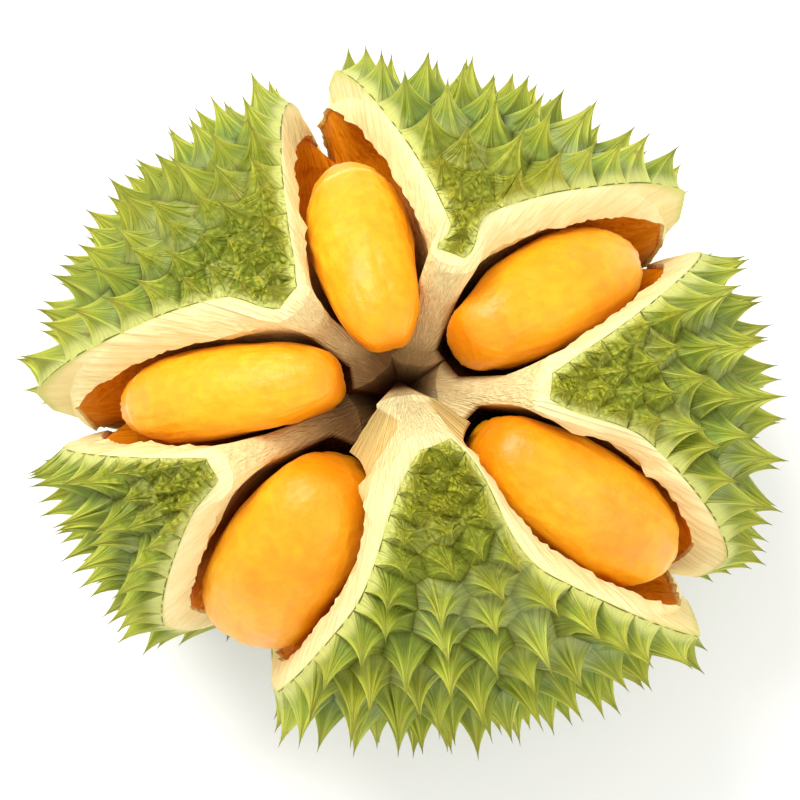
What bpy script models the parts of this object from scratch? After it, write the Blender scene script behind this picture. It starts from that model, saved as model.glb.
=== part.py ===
"""A ripe durian, split open from its blossom end.

The husk is one grown piece: five thorny valves that part along five splits and stay joined at the
stem end, with a thick septum of pith from the middle of each valve to the core. One pod of flesh
lies in each locule, behind its split. The fruit stands on the cut face of its trimmed stalk and on
the tips of its lowest thorns. Metres, +Z up, the fruit's own axis along Z.

Every place in the fruit is given by three values: a row angle, measured from the blossom end (0)
to the stem end (pi); a depth below the rind along that row's line to the core; and an azimuth.
"""

import bisect
import math
import random
from collections import namedtuple

import bmesh
import bpy
from mathutils import Vector

# The rind's round body, without its thorns.
SIDE_RADIUS = 0.1020
TOP_RADIUS = 0.086
BOTTOM_RADIUS = 0.091
BODY_POWER = 2.25
FRONT_TO_BACK = 0.925
SWELL = 0.09
SWELL_AZIMUTH = 326
SWELL_SHARPNESS = 6
STALK_LENGTH = 0.006
STALK_RADIUS = 0.0115
STALK_GAP = 0.0003
CENTRE_HEIGHT = BOTTOM_RADIUS + STALK_LENGTH

# The core, where the rows' lines end.
CORE_TOP_HEIGHT = 0.126
CORE_BOTTOM_HEIGHT = 0.012
CORE_TOP_ANGLE = math.radians(25)
CORE_PAST_AXIS = 0.0015
CORE_HALF_WIDTH = 0.0005

# The splits.
SPLIT_END_ANGLE = math.radians(126)
OPENING_LENGTH = math.radians(4)
GREEN_NARROWING = 1.25
PALE_NARROWING = 1.8
TIP_EDGE_WIDTH = 0.002
PALE_EDGE_SHARE = 0.52
FLARE = 0.0105
FLARE_ANGLE = math.radians(82)
FLARE_SPREAD = math.radians(28)
FLARE_POINT = 1.5
FLARE_REACH = 0.022
JOIN_OVERLAP = 0.0003
TIP_HALF_WIDTH = 0.003
SAG_SPAN = math.radians(44)
SAG_SHARE = 0.5

# The locules and the pods in them.
LOCULE_OUTER_DEPTH = 0.0165
LOCULE_INNER_SHARE = 0.60
SEEN_SHARE = 0.93
LOCULE_END_MARGIN = math.radians(6)
LOCULE_CLOSING = math.radians(34)
LOCULE_LEAD = math.radians(3)
LEAST_FULLNESS = 0.38
POD_OVERHANG = math.radians(5)
SOFTNESS = 6
POD_CLEARANCE = 0.0019
POD_PLUMPNESS = 2.8
POD_EVENING = 1
WALL_START = math.radians(68)

# The thorns.
THORN_LENGTH = 0.0145
THORN_SPACING = 0.0125
TIP_SPACING = 0.0047
TIP_ZONE = 0.056
THORN_LEAN = 0.14
STALK_CLEARING = 0.030
EVENING_PASSES = 3
CANDIDATES = 3000

# How finely the solids are cut.
HUSK_ROWS = 17
WALL_STEPS = 6
POD_ROWS = 14
POD_SIDES = 18
STALK_SIDES = 32

# A side of a split: how wide the pale torn edge is along the pod, and how far the green edge and
# the pale edge lie from the split's middle plane at the fruit's girth. The side that has its pale
# edge past the middle plane folds round the pod's outer end as a flap.
Side = namedtuple("Side", "pale_width green_at_girth pale_at_girth")
# A locule: cover is the rind's depth over its pod. The row angles, in degrees, are those where the
# pod starts and ends, where the split is widest, and where the split has narrowed to a crack.
Locule = namedtuple(
    "Locule", "name azimuth half_width cover pod_start pod_end widest close low_side high_side"
)
# A valve: its azimuth, how far from the axis its tip ends, half its septum's thickness, how long
# its thorns are beside the usual length, the seed of its thorns' places, and how many degrees its
# septum's edge hangs below the row of its tip.
Valve = namedtuple("Valve", "azimuth tip_radius septum thorns seed sag")

LOCULES = (
    Locule("right", 33, 0.0180, 0.006, 21, 78, 36, 91,
           Side(0.0047, 0.007, 0.004), Side(0.0095, 0.004, -0.0015)),
    Locule("back", 104, 0.0170, 0.006, 9, 64, 30, 88,
           Side(0.0080, 0.004, -0.0015), Side(0.0036, 0.007, 0.005)),
    Locule("left", 184, 0.0160, 0.006, 17, 77, 36, 90,
           Side(0.0105, 0.004, -0.0015), Side(0.0055, 0.007, 0.004)),
    Locule("front_left", 238, 0.0210, 0.002, 31, 95, 48, 109,
           Side(0.0065, 0.012, 0.009), Side(0.0060, 0.012, 0.009)),
    Locule("front_right", 325, 0.0180, 0.003, 28, 86, 46, 98,
           Side(0.0075, 0.003, -0.0020), Side(0.0055, 0.005, 0.002)),
)
# Each valve stands between the locule of its own place in the list and the next one round.
VALVES = (
    Valve(68, 0.038, 0.0060, 0.95, 11, 4),
    Valve(145, 0.038, 0.0042, 0.95, 23, 4),
    Valve(209, 0.060, 0.0042, 1.12, 37, 3),
    Valve(295, 0.025, 0.0045, 1.15, 41, -3),
    Valve(353, 0.042, 0.0045, 1.00, 59, 3),
)


def smooth_through(knots, at):
    """The value at a place on a smooth curve through (place, value) knots, held level past its ends."""
    places = [knot[0] for knot in knots]
    values = [knot[1] for knot in knots]
    if at <= places[0]:
        return values[0]
    if at >= places[-1]:
        return values[-1]
    rises = [(values[i + 1] - values[i]) / (places[i + 1] - places[i]) for i in range(len(knots) - 1)]
    slopes = [0.0] + [between(a, b) for a, b in zip(rises, rises[1:])] + [0.0]
    i = bisect.bisect_right(places, at) - 1
    span = places[i + 1] - places[i]
    t = (at - places[i]) / span
    start = values[i] * (1 + 2 * t) * (1 - t) ** 2 + slopes[i] * span * t * (1 - t) ** 2
    end = values[i + 1] * t * t * (3 - 2 * t) + slopes[i + 1] * span * t * t * (t - 1)
    return start + end


def between(a, b):
    """The harmonic mean of two slopes that agree in sign, which keeps a curve from overshooting."""
    return 2 * a * b / (a + b) if a * b > 0 else 0.0


def rind_radius_height(angle):
    """Distance from the axis and height of the rind on the row at this angle."""
    end_radius = TOP_RADIUS if angle < math.pi / 2 else BOTTOM_RADIUS
    up = (abs(math.cos(angle)) / end_radius) ** BODY_POWER
    out = (math.sin(angle) / SIDE_RADIUS) ** BODY_POWER
    reach = (up + out) ** (-1 / BODY_POWER)
    return reach * math.sin(angle), CENTRE_HEIGHT + reach * math.cos(angle)


def rind_normal(angle):
    """Outward (radial, upward) direction of the rind on the row at this angle."""
    step = math.radians(0.5)
    r0, z0 = rind_radius_height(angle - step)
    r1, z1 = rind_radius_height(angle + step)
    length = math.hypot(r1 - r0, z1 - z0)
    return (z0 - z1) / length, (r1 - r0) / length


def angle_at_radius(radius):
    """The row angle on the blossom half whose rind lies at this distance from the axis."""
    low, high = 0.0, math.pi / 2
    for _ in range(40):
        middle = (low + high) / 2
        if rind_radius_height(middle)[0] < radius:
            low = middle
        else:
            high = middle
    return low


def core_height(angle):
    """How high on the axis the row's line ends."""
    share = (angle - CORE_TOP_ANGLE) / (math.pi - CORE_TOP_ANGLE)
    return CORE_TOP_HEIGHT + (CORE_BOTTOM_HEIGHT - CORE_TOP_HEIGHT) * share


def row_length(angle):
    """Length of the row's line from the rind to the core."""
    radius, height = rind_radius_height(angle)
    return math.hypot(radius, height - core_height(angle))


def radius_height(angle, depth):
    """Distance from the axis and height at a depth below the rind, along the row's line."""
    radius, height = rind_radius_height(angle)
    share = depth / row_length(angle)
    return radius * (1 - share), height + (core_height(angle) - height) * share


def place(radius, height, azimuth):
    """World position; the fruit swells a little round its front right split."""
    turn = math.cos(azimuth - math.radians(SWELL_AZIMUTH))
    rise = (height - CENTRE_HEIGHT) / TOP_RADIUS
    swell = 1 + SWELL * max(0.0, turn) ** SWELL_SHARPNESS * max(0.0, 1 - rise * rise)
    return Vector(
        (radius * swell * math.cos(azimuth), radius * swell * math.sin(azimuth) * FRONT_TO_BACK, height)
    )


def share_of(part, whole):
    """The angle that a sideways distance takes up at a distance from the axis."""
    return math.asin(max(-0.97, min(0.97, part / max(whole, 1e-6))))


class ValveShape:
    """One valve with its septum: its two sides, the outline of its rind and the thorns on it."""

    def __init__(self, index):
        self.valve = VALVES[index]
        self.azimuth = math.radians(self.valve.azimuth)
        self.low = LOCULES[index]
        self.high = LOCULES[(index + 1) % len(LOCULES)]
        self.tip_angle = angle_at_radius(self.valve.tip_radius)
        self.stem_angle = math.pi - math.asin(STALK_RADIUS * 1.4 / BOTTOM_RADIUS)
        steps = HUSK_ROWS - 1
        span = self.tip_angle - self.stem_angle
        self.rows = [self.stem_angle + span * i / steps for i in range(HUSK_ROWS)]

    def gap_to(self, locule):
        """Azimuth from the locule's middle plane to this valve's septum, always positive."""
        turn = abs(self.azimuth - math.radians(locule.azimuth)) % (2 * math.pi)
        return min(turn, 2 * math.pi - turn)

    def sagged(self, angle, share):
        """The row angle of a point this far in along a row, let down where the septum's edge hangs."""
        fall = max(0.0, 1 - (angle - self.tip_angle) / SAG_SPAN)
        inward = min(1.0, share / SAG_SHARE)
        inward = inward * inward * (3 - 2 * inward)
        return angle + math.radians(self.valve.sag) * inward * fall * fall

    def split_offset(self, angle, locule, at_tip, along_pod, at_girth, narrowing):
        """Distance of an edge from the split's middle plane on the row at this angle."""
        widest, close = math.radians(locule.widest), math.radians(locule.close)
        widest = max(widest, self.tip_angle + OPENING_LENGTH)
        opening = smooth_through(((self.tip_angle, at_tip), (widest, along_pod)), angle)
        closed = smooth_through(((close, at_girth), (SPLIT_END_ANGLE, 0.0)), angle)
        narrowed = min(1.0, max(0.0, (angle - widest) / (close - widest))) ** narrowing
        return opening + (closed - opening) * narrowed - JOIN_OVERLAP

    def offset_azimuth(self, locule, side, offset, radius, keep):
        """Azimuth of a point that far from the split's plane, held clear of the septum's middle by keep."""
        limit = self.gap_to(locule) - share_of(keep, radius)
        turn = min(share_of(offset, radius), limit)
        return self.azimuth + side * (self.gap_to(locule) - turn)

    def side_chain(self, angle, side):
        """Points down one side of the valve on one row, from its green edge to the core."""
        locule = self.high if side > 0 else self.low
        torn = locule.low_side if side > 0 else locule.high_side
        tip_offset = self.valve.tip_radius * math.sin(self.gap_to(locule)) - TIP_HALF_WIDTH
        green = self.split_offset(
            angle, locule, tip_offset, locule.half_width + torn.pale_width, torn.green_at_girth,
            GREEN_NARROWING,
        )
        beside_pod = locule.half_width * max(LEAST_FULLNESS, pod_fullness(locule, self.tip_angle))
        pale = self.split_offset(
            angle, locule, min(tip_offset - TIP_EDGE_WIDTH, beside_pod), locule.half_width,
            torn.pale_at_girth, PALE_NARROWING,
        )
        pale_depth = PALE_EDGE_SHARE * full_section(angle, locule).middle - self.flare(angle, torn)
        stations = [(angle, green, 0.0, TIP_HALF_WIDTH), (angle, pale, pale_depth, self.valve.septum)]
        for step in range(WALL_STEPS + 1):
            turn = WALL_START + (math.pi - WALL_START) * step / WALL_STEPS
            depth = locule_section(locule_size(angle, locule), turn)[1]
            low = self.sagged(angle, depth / row_length(angle))
            offset, depth = locule_section(locule_size(low, locule), turn)
            stations.append((low, offset - JOIN_OVERLAP, depth, self.valve.septum))
        chain = []
        for row_angle, offset, depth, keep in stations:
            radius, height = radius_height(row_angle, depth)
            keep = min(keep, 0.45 * radius)
            chain.append(place(radius, height, self.offset_azimuth(locule, side, offset, radius, keep)))
        chain.append(self.core_end(self.sagged(angle, 1.0), side))
        return chain

    def flare(self, angle, torn):
        """How far the rim of a split curls out of the rind: most at the girth, and on its flap."""
        away = abs(angle - FLARE_ANGLE) / FLARE_SPREAD
        most = FLARE if torn.pale_at_girth < 0 else FLARE * 0.3
        return most * max(0.0, 1 - away) ** FLARE_POINT

    def core_end(self, angle, side):
        along = Vector((math.cos(self.azimuth), math.sin(self.azimuth), 0))
        across = Vector((-math.sin(self.azimuth), math.cos(self.azimuth), 0))
        end = across * side * CORE_HALF_WIDTH - along * CORE_PAST_AXIS
        return Vector((end.x, end.y * FRONT_TO_BACK, core_height(angle)))


Section = namedtuple("Section", "half_width outer_depth inner_depth middle")


def pod_fullness(locule, angle):
    """How wide a pod is on a row beside its widest: its two ends are round."""
    start, end = math.radians(locule.pod_start), math.radians(locule.pod_end)
    along = abs(2 * angle - start - end) / (end - start)
    return math.sqrt(1 - min(1.0, along) ** POD_PLUMPNESS)


def locule_size(angle, locule):
    """The cross-section of a locule on the row at this angle: widest at the depth called middle."""
    end = math.radians(locule.close) - LOCULE_END_MARGIN
    closing = 1 - (end - angle) / LOCULE_CLOSING
    fullness = math.sqrt(max(0.0, 1 - max(0.0, closing) ** 2))
    pod_middle = math.radians(locule.pod_start + locule.pod_end) / 2
    beside_pod = pod_fullness(locule, min(pod_middle, angle + LOCULE_LEAD))
    if angle < pod_middle:
        fullness = max(LEAST_FULLNESS, beside_pod)
    full = full_section(angle, locule)
    least = min(0.004, 0.1 * row_length(angle))
    return Section(
        full.half_width * fullness,
        max(full.outer_depth * fullness, least),
        max(full.inner_depth * fullness, least),
        full.middle,
    )


def full_section(angle, locule):
    length = row_length(angle)
    cover = min(locule.cover, 0.12 * length)
    outer = min(LOCULE_OUTER_DEPTH, 0.2 * length)
    middle = cover + outer
    return Section(locule.half_width / SEEN_SHARE, outer, (length - middle) * LOCULE_INNER_SHARE, middle)


def locule_section(size, turn):
    """Offset from the split's plane and depth of a point on a cross-section, turned from its outer end."""
    reach = size.outer_depth if math.cos(turn) > 0 else size.inner_depth
    return size.half_width * math.sin(turn), size.middle - reach * math.cos(turn)


class RindChart:
    """A valve's rind laid flat: x runs across it from its middle, y up from the stem end."""

    def __init__(self, shape):
        self.shape = shape
        self.heights = [0.0]
        for lower, upper in zip(shape.rows, shape.rows[1:]):
            r0, z0 = rind_radius_height(lower)
            r1, z1 = rind_radius_height(upper)
            self.heights.append(self.heights[-1] + math.hypot(r1 - r0, z1 - z0))
        self.top = self.heights[-1]
        self.high_edge = [self.edge_x(angle, 1) for angle in shape.rows]
        self.low_edge = [self.edge_x(angle, -1) for angle in shape.rows]

    def edge_x(self, angle, side):
        point = self.shape.side_chain(angle, side)[0]
        turn = math.atan2(point.y / FRONT_TO_BACK, point.x) - self.shape.azimuth
        turn = (turn + math.pi) % (2 * math.pi) - math.pi
        return turn * rind_radius_height(angle)[0]

    def edge_at(self, y, side):
        edge = self.high_edge if side > 0 else self.low_edge
        i = min(max(bisect.bisect_right(self.heights, y) - 1, 0), len(edge) - 2)
        share = (y - self.heights[i]) / (self.heights[i + 1] - self.heights[i])
        return edge[i] + (edge[i + 1] - edge[i]) * share

    def angle_at(self, y):
        i = min(max(bisect.bisect_right(self.heights, y) - 1, 0), len(self.heights) - 2)
        share = (y - self.heights[i]) / (self.heights[i + 1] - self.heights[i])
        return self.shape.rows[i] + (self.shape.rows[i + 1] - self.shape.rows[i]) * share

    def outline(self):
        rising = list(zip(self.high_edge, self.heights))
        falling = list(zip(self.low_edge, self.heights))
        return rising + falling[::-1]

    def spacing_at(self, y):
        share = min(1.0, (self.top - y) / TIP_ZONE)
        share = share * share * (3 - 2 * share)
        return TIP_SPACING + (THORN_SPACING - TIP_SPACING) * share

    def seeds(self):
        """Places for the thorns: random, but none too near another, and finer towards the valve's tip."""
        chance = random.Random(self.shape.valve.seed)
        found = []
        for _ in range(CANDIDATES):
            x = chance.uniform(min(self.low_edge), max(self.high_edge))
            y = chance.uniform(0, self.top)
            room = self.spacing_at(y)
            inside = self.edge_at(y, -1) + 0.3 * room < x < self.edge_at(y, 1) - 0.3 * room
            if inside and all(math.hypot(x - a, y - b) > 0.82 * room for a, b in found):
                found.append((x, y))
        return found

    def cells(self):
        """The polygons of rind that each thorn stands on, which share their edges."""
        points = self.seeds()
        for _ in range(EVENING_PASSES):
            points = [centroid(cell) for cell in nearest_cells(points, self.outline())]
        return nearest_cells(points, self.outline())

    def to_fruit(self, x, y):
        angle = self.angle_at(y)
        lift = 0.0
        for side, torn in ((1, self.shape.high.low_side), (-1, self.shape.low.high_side)):
            inward = abs(self.edge_at(y, side) - x) / FLARE_REACH
            lift = max(lift, self.shape.flare(angle, torn) * max(0.0, 1 - inward) ** 2)
        radius, height = radius_height(angle, -lift)
        return place(radius, height, self.shape.azimuth + x / rind_radius_height(angle)[0])

    def thorn_tip(self, cell, chance):
        """Where the thorn on a cell ends: out along the rind's normal, leaning a little, above the ground."""
        x, y = centroid(cell)
        angle = self.angle_at(y)
        out, up = rind_normal(angle)
        azimuth = self.shape.azimuth + x / rind_radius_height(angle)[0]
        most = THORN_LEAN * min(1.0, y / STALK_CLEARING)
        lean = Vector([chance.uniform(-most, most) for _ in range(3)])
        direction = Vector((out * math.cos(azimuth), out * math.sin(azimuth), up)) + lean
        direction.normalize()
        fullness = min(1.0, math.sqrt(area(cell)) / THORN_SPACING)
        length = THORN_LENGTH * self.shape.valve.thorns * fullness * chance.uniform(0.85, 1.1)
        foot = self.to_fruit(x, y)
        if direction.z < 0:
            length = min(length, foot.z / -direction.z)
        return foot + direction * length


def area(polygon):
    pairs = zip(polygon, polygon[1:] + polygon[:1])
    return abs(sum(a[0] * b[1] - b[0] * a[1] for a, b in pairs)) / 2


def centroid(polygon):
    pairs = list(zip(polygon, polygon[1:] + polygon[:1]))
    crosses = [a[0] * b[1] - b[0] * a[1] for a, b in pairs]
    total = sum(crosses)
    x = sum((a[0] + b[0]) * c for (a, b), c in zip(pairs, crosses)) / (3 * total)
    y = sum((a[1] + b[1]) * c for (a, b), c in zip(pairs, crosses)) / (3 * total)
    return x, y


def cut(polygon, middle, away):
    """What is left of a polygon on the near side of the line through middle, square to away."""
    kept = []
    beyond = [(p[0] - middle[0]) * away[0] + (p[1] - middle[1]) * away[1] for p in polygon]
    for i, point in enumerate(polygon):
        following = (i + 1) % len(polygon)
        if beyond[i] <= 0:
            kept.append(point)
        if beyond[i] * beyond[following] < 0:
            share = beyond[i] / (beyond[i] - beyond[following])
            other = polygon[following]
            kept.append((point[0] + (other[0] - point[0]) * share, point[1] + (other[1] - point[1]) * share))
    return kept


def nearest_cells(points, outline):
    """For each point, the part of the outline that is nearer to it than to any other point."""
    cells = []
    for x, y in points:
        others = sorted((math.hypot(a - x, b - y), a, b) for a, b in points if (a, b) != (x, y))
        cell = outline
        for distance, a, b in others:
            reach = max(math.hypot(p[0] - x, p[1] - y) for p in cell)
            if distance > 2 * reach:
                break
            cell = cut(cell, ((x + a) / 2, (y + b) / 2), (a - x, b - y))
        cells.append(cell)
    return cells


class Skin:
    """Collects faces and merges points that fall together."""

    def __init__(self):
        self.points = []
        self.faces = []
        self.known = {}

    def add(self, point):
        key = tuple(round(value * 1e7) for value in point)
        if key not in self.known:
            self.known[key] = len(self.points)
            self.points.append(tuple(point))
        return self.known[key]

    def face(self, corners):
        around = [corners[i] for i in range(len(corners)) if corners[i] != corners[i - 1]]
        if len(around) > 2:
            self.faces.append(around)

    def zip_columns(self, first, second):
        """Fills between two columns of (place along them, point) that need not have the same places."""
        i = j = 0
        while i < len(first) - 1 or j < len(second) - 1:
            step_first = j == len(second) - 1
            if i < len(first) - 1 and j < len(second) - 1:
                step_first = first[i + 1][0] <= second[j + 1][0]
            if step_first:
                self.face([first[i][1], first[i + 1][1], second[j][1]])
                i += 1
            else:
                self.face([first[i][1], second[j + 1][1], second[j][1]])
                j += 1


def on_edge(chart, side, marks):
    """The cell corners on one edge of the rind, from the stem end to the valve's tip."""
    found = [(y, mark) for (x, y), mark in marks.items() if abs(x - chart.edge_at(y, side)) < 1e-9]
    return sorted(set(found))


def on_row(chart, y_wanted, marks):
    """The cell corners on the first or last row of the rind, from its low side to its high side."""
    found = [(x, mark) for (x, y), mark in marks.items() if abs(y - y_wanted) < 1e-9]
    return [mark for _, mark in sorted(set(found))]


def valve_skin(shape):
    """One closed skin: thorny rind, torn edges, locule walls, septum, and its foot and top."""
    skin = Skin()
    chart = RindChart(shape)
    chance = random.Random(shape.valve.seed + 1)
    marks = {}
    for cell in chart.cells():
        ring = []
        for x, y in cell:
            marks[(x, y)] = skin.add(chart.to_fruit(x, y))
            ring.append(marks[(x, y)])
        tip = skin.add(chart.thorn_tip(cell, chance))
        for first, second in zip(ring, ring[1:] + ring[:1]):
            skin.face([first, second, tip])
    sides = {}
    for side in (1, -1):
        chains = [[skin.add(point) for point in shape.side_chain(angle, side)[1:]] for angle in shape.rows]
        sides[side] = chains
        pale = [(y, chain[0]) for y, chain in zip(chart.heights, chains)]
        skin.zip_columns(on_edge(chart, side, marks), pale)
        for lower, upper in zip(chains, chains[1:]):
            for j in range(len(lower) - 1):
                skin.face([lower[j], lower[j + 1], upper[j + 1], upper[j]])
    for lower, upper in zip(shape.rows, shape.rows[1:]):
        corners = ((lower, 1), (lower, -1), (upper, -1), (upper, 1))
        skin.face([skin.add(shape.core_end(shape.sagged(angle, 1.0), side)) for angle, side in corners])
    for row, y in ((0, 0.0), (-1, chart.top)):
        low, high = sides[-1][row], sides[1][row]
        arc = on_row(chart, y, marks)
        skin.face(arc + [high[0], low[0]])
        for j in range(len(low) - 1):
            skin.face([low[j], high[j], high[j + 1], low[j + 1]])
    return skin


def closed_object(name, points, faces, material, evening=0):
    mesh = bpy.data.meshes.new(name)
    mesh.from_pydata(points, [], faces)
    body = bmesh.new()
    body.from_mesh(mesh)
    for _ in range(evening):
        bmesh.ops.smooth_vert(
            body, verts=body.verts, factor=0.5, use_axis_x=True, use_axis_y=True, use_axis_z=True
        )
    bmesh.ops.triangulate(body, faces=body.faces)
    bmesh.ops.recalc_face_normals(body, faces=body.faces)
    body.to_mesh(mesh)
    body.free()
    mesh.materials.append(material)
    made = bpy.data.objects.new(name, mesh)
    bpy.context.scene.collection.objects.link(made)
    return made


def make_material(name, color, roughness):
    material = bpy.data.materials.new(name)
    material.use_nodes = True
    shader = material.node_tree.nodes["Principled BSDF"]
    shader.inputs["Base Color"].default_value = (*color, 1)
    shader.inputs["Roughness"].default_value = roughness
    shader.inputs["Metallic"].default_value = 0.0
    return material


def make_husk():
    """The five valves, joined at the stem end and along the core."""
    material = make_material("husk", (0.25, 0.33, 0.07), 0.7)
    valves = []
    for index in range(len(VALVES)):
        skin = valve_skin(ValveShape(index))
        valves.append(closed_object(f"valve_{index}", skin.points, skin.faces, material))
    husk = valves[0]
    husk.name = "husk"
    for other in valves[1:]:
        join = husk.modifiers.new(f"join_{other.name}", "BOOLEAN")
        join.operation = "UNION"
        join.object = other
        other.hide_render = True
        other.display_type = "WIRE"
        other.hide_set(True)
    return husk


def pod_ring(locule, index, angle, fullness):
    """One cross-section of a pod, kept clear of the locule's wall and of the septa beside it."""
    full = full_section(angle, locule)
    size = Section(*[(part - POD_CLEARANCE) * fullness for part in full[:3]], full.middle)
    ring = []
    for k in range(POD_SIDES):
        turn = 2 * math.pi * k / POD_SIDES
        offset, depth = locule_section(size, turn)
        radius, height = radius_height(angle, depth)
        side = 1 if math.sin(turn) >= 0 else -1
        shape = ValveShape(index if side > 0 else index - 1)
        beside_septum = (angle - shape.tip_angle) / POD_OVERHANG + 0.4
        keep = shape.valve.septum * min(1.0, max(0.0, beside_septum)) + POD_CLEARANCE
        limit = shape.gap_to(locule) - share_of(min(keep, 0.9 * radius), radius)
        swing = share_of(abs(offset), radius)
        swing /= (1 + (swing / limit) ** SOFTNESS) ** (1 / SOFTNESS)
        ring.append(place(radius, height, math.radians(locule.azimuth) + side * swing))
    return ring


def make_pod(index):
    """A pod of flesh: a plump bent bean that follows the rind from near the core's top to the girth."""
    locule = LOCULES[index]
    start, end = math.radians(locule.pod_start), math.radians(locule.pod_end)
    points, faces = [], []
    for i in range(1, POD_ROWS):
        along = -math.cos(math.pi * i / POD_ROWS)
        angle = (start + end) / 2 + (end - start) / 2 * along
        points += pod_ring(locule, index, angle, pod_fullness(locule, angle))
    for row in range(POD_ROWS - 2):
        for k in range(POD_SIDES):
            a, b = row * POD_SIDES + k, row * POD_SIDES + (k + 1) % POD_SIDES
            faces.append((a, b, b + POD_SIDES, a + POD_SIDES))
    for angle, first in ((start, 0), (end, (POD_ROWS - 2) * POD_SIDES)):
        radius, height = radius_height(angle, full_section(angle, locule).middle)
        points.append(place(radius, height, math.radians(locule.azimuth)))
        pole = len(points) - 1
        for k in range(POD_SIDES):
            faces.append((pole, first + k, first + (k + 1) % POD_SIDES))
    material = make_material(f"flesh_{locule.name}", (0.90, 0.44, 0.02), 0.45)
    pod = closed_object(f"flesh_pod_{locule.name}", points, faces, material, POD_EVENING)
    pod.data.shade_smooth()
    return pod


def make_stalk():
    """The woody stalk, trimmed flush: its cut face is what the fruit stands on."""
    body = bmesh.new()
    bmesh.ops.create_cone(
        body, cap_ends=True, segments=STALK_SIDES, radius1=STALK_RADIUS, radius2=STALK_RADIUS * 1.06,
        depth=STALK_LENGTH - STALK_GAP,
    )
    bmesh.ops.translate(body, verts=body.verts, vec=(0, 0, (STALK_LENGTH - STALK_GAP) / 2))
    mesh = bpy.data.meshes.new("stalk")
    body.to_mesh(mesh)
    body.free()
    mesh.materials.append(make_material("stalk", (0.20, 0.12, 0.06), 0.85))
    mesh.shade_smooth()
    mesh.set_sharp_from_angle(angle=math.radians(40))
    stalk = bpy.data.objects.new("stalk", mesh)
    bpy.context.scene.collection.objects.link(stalk)
    return stalk


def main():
    for old in list(bpy.data.objects):
        bpy.data.objects.remove(old, do_unlink=True)
    make_husk()
    for index in range(len(LOCULES)):
        make_pod(index)
    make_stalk()


main()
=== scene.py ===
# %% [markdown]
# # A split durian
# This lesson dresses a plain solid model of a durian: a thorny husk that has split into valves, with
# a pod of flesh in each split. First it describes the fruit's form with a few formulas. Then it grows
# the thorns with Geometry Nodes, builds the torn pith and the pods, and paints them with procedural
# materials.

# %% Load the solid model
import bisect
import math
import random
from collections import namedtuple

import bmesh
import bpy
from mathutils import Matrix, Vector, noise


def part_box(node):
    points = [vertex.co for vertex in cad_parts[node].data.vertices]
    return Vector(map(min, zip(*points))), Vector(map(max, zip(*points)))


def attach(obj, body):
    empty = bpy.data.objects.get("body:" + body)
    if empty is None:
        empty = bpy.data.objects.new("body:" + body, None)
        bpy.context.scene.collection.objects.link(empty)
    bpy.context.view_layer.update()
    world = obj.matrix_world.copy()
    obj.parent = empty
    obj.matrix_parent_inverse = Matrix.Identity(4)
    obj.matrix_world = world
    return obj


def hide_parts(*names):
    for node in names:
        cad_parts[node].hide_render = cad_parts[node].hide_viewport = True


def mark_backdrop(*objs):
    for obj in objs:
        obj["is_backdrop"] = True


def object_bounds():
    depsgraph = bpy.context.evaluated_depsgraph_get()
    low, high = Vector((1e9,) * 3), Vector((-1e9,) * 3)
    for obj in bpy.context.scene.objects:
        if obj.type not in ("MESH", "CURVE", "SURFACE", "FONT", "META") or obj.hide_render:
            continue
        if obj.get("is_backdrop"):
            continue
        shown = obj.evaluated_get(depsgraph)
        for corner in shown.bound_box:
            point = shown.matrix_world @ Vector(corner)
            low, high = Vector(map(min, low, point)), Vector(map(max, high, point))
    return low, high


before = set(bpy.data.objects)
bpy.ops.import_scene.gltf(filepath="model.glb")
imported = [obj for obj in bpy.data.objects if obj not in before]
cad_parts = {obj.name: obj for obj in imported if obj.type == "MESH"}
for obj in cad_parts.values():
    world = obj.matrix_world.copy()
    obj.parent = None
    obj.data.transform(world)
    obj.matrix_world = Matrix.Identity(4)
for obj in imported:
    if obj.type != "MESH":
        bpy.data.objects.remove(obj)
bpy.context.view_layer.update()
print("solid model:", sorted(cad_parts))

# %% [markdown]
# ## The fruit's round body
# A durian is round, so it could be a squashed sphere. But thorns, locules and pods all have to follow
# the same body, so here one formula gives the place of any point in the fruit. Every point has three
# values: a row angle from the blossom end (0) to the stem end (pi), a depth below the rind along that
# row's line to the core, and an azimuth. The rind is a rounded solid of revolution, a little narrower
# from front to back, with a swelling at one split.

# %% Sizes of the body
SIDE_RADIUS = 0.1020
TOP_RADIUS = 0.086
BOTTOM_RADIUS = 0.091
BODY_POWER = 2.25
FRONT_TO_BACK = 0.925
SWELL = 0.09
SWELL_AZIMUTH = 326
SWELL_SHARPNESS = 6
STALK_LENGTH = 0.006
STALK_RADIUS = 0.0115
CENTRE_HEIGHT = BOTTOM_RADIUS + STALK_LENGTH
CORE_TOP_HEIGHT = 0.126
CORE_BOTTOM_HEIGHT = 0.012
CORE_TOP_ANGLE = math.radians(25)
NORMAL_STEP = math.radians(0.5)


def held(share):
    """Keeps a share between 0 and 1."""
    return min(1.0, max(0.0, share))


def eased(share):
    """Makes a share that runs from 0 to 1 start and end softly."""
    return share * share * (3 - 2 * share)


def smooth_through(knots, at):
    """The value at a place on a smooth curve through (place, value) knots."""
    places = [knot[0] for knot in knots]
    values = [knot[1] for knot in knots]
    if at <= places[0]:
        return values[0]
    if at >= places[-1]:
        return values[-1]
    i = bisect.bisect_right(places, at) - 1
    t = (at - places[i]) / (places[i + 1] - places[i])
    return values[i] + (values[i + 1] - values[i]) * eased(t)


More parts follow.
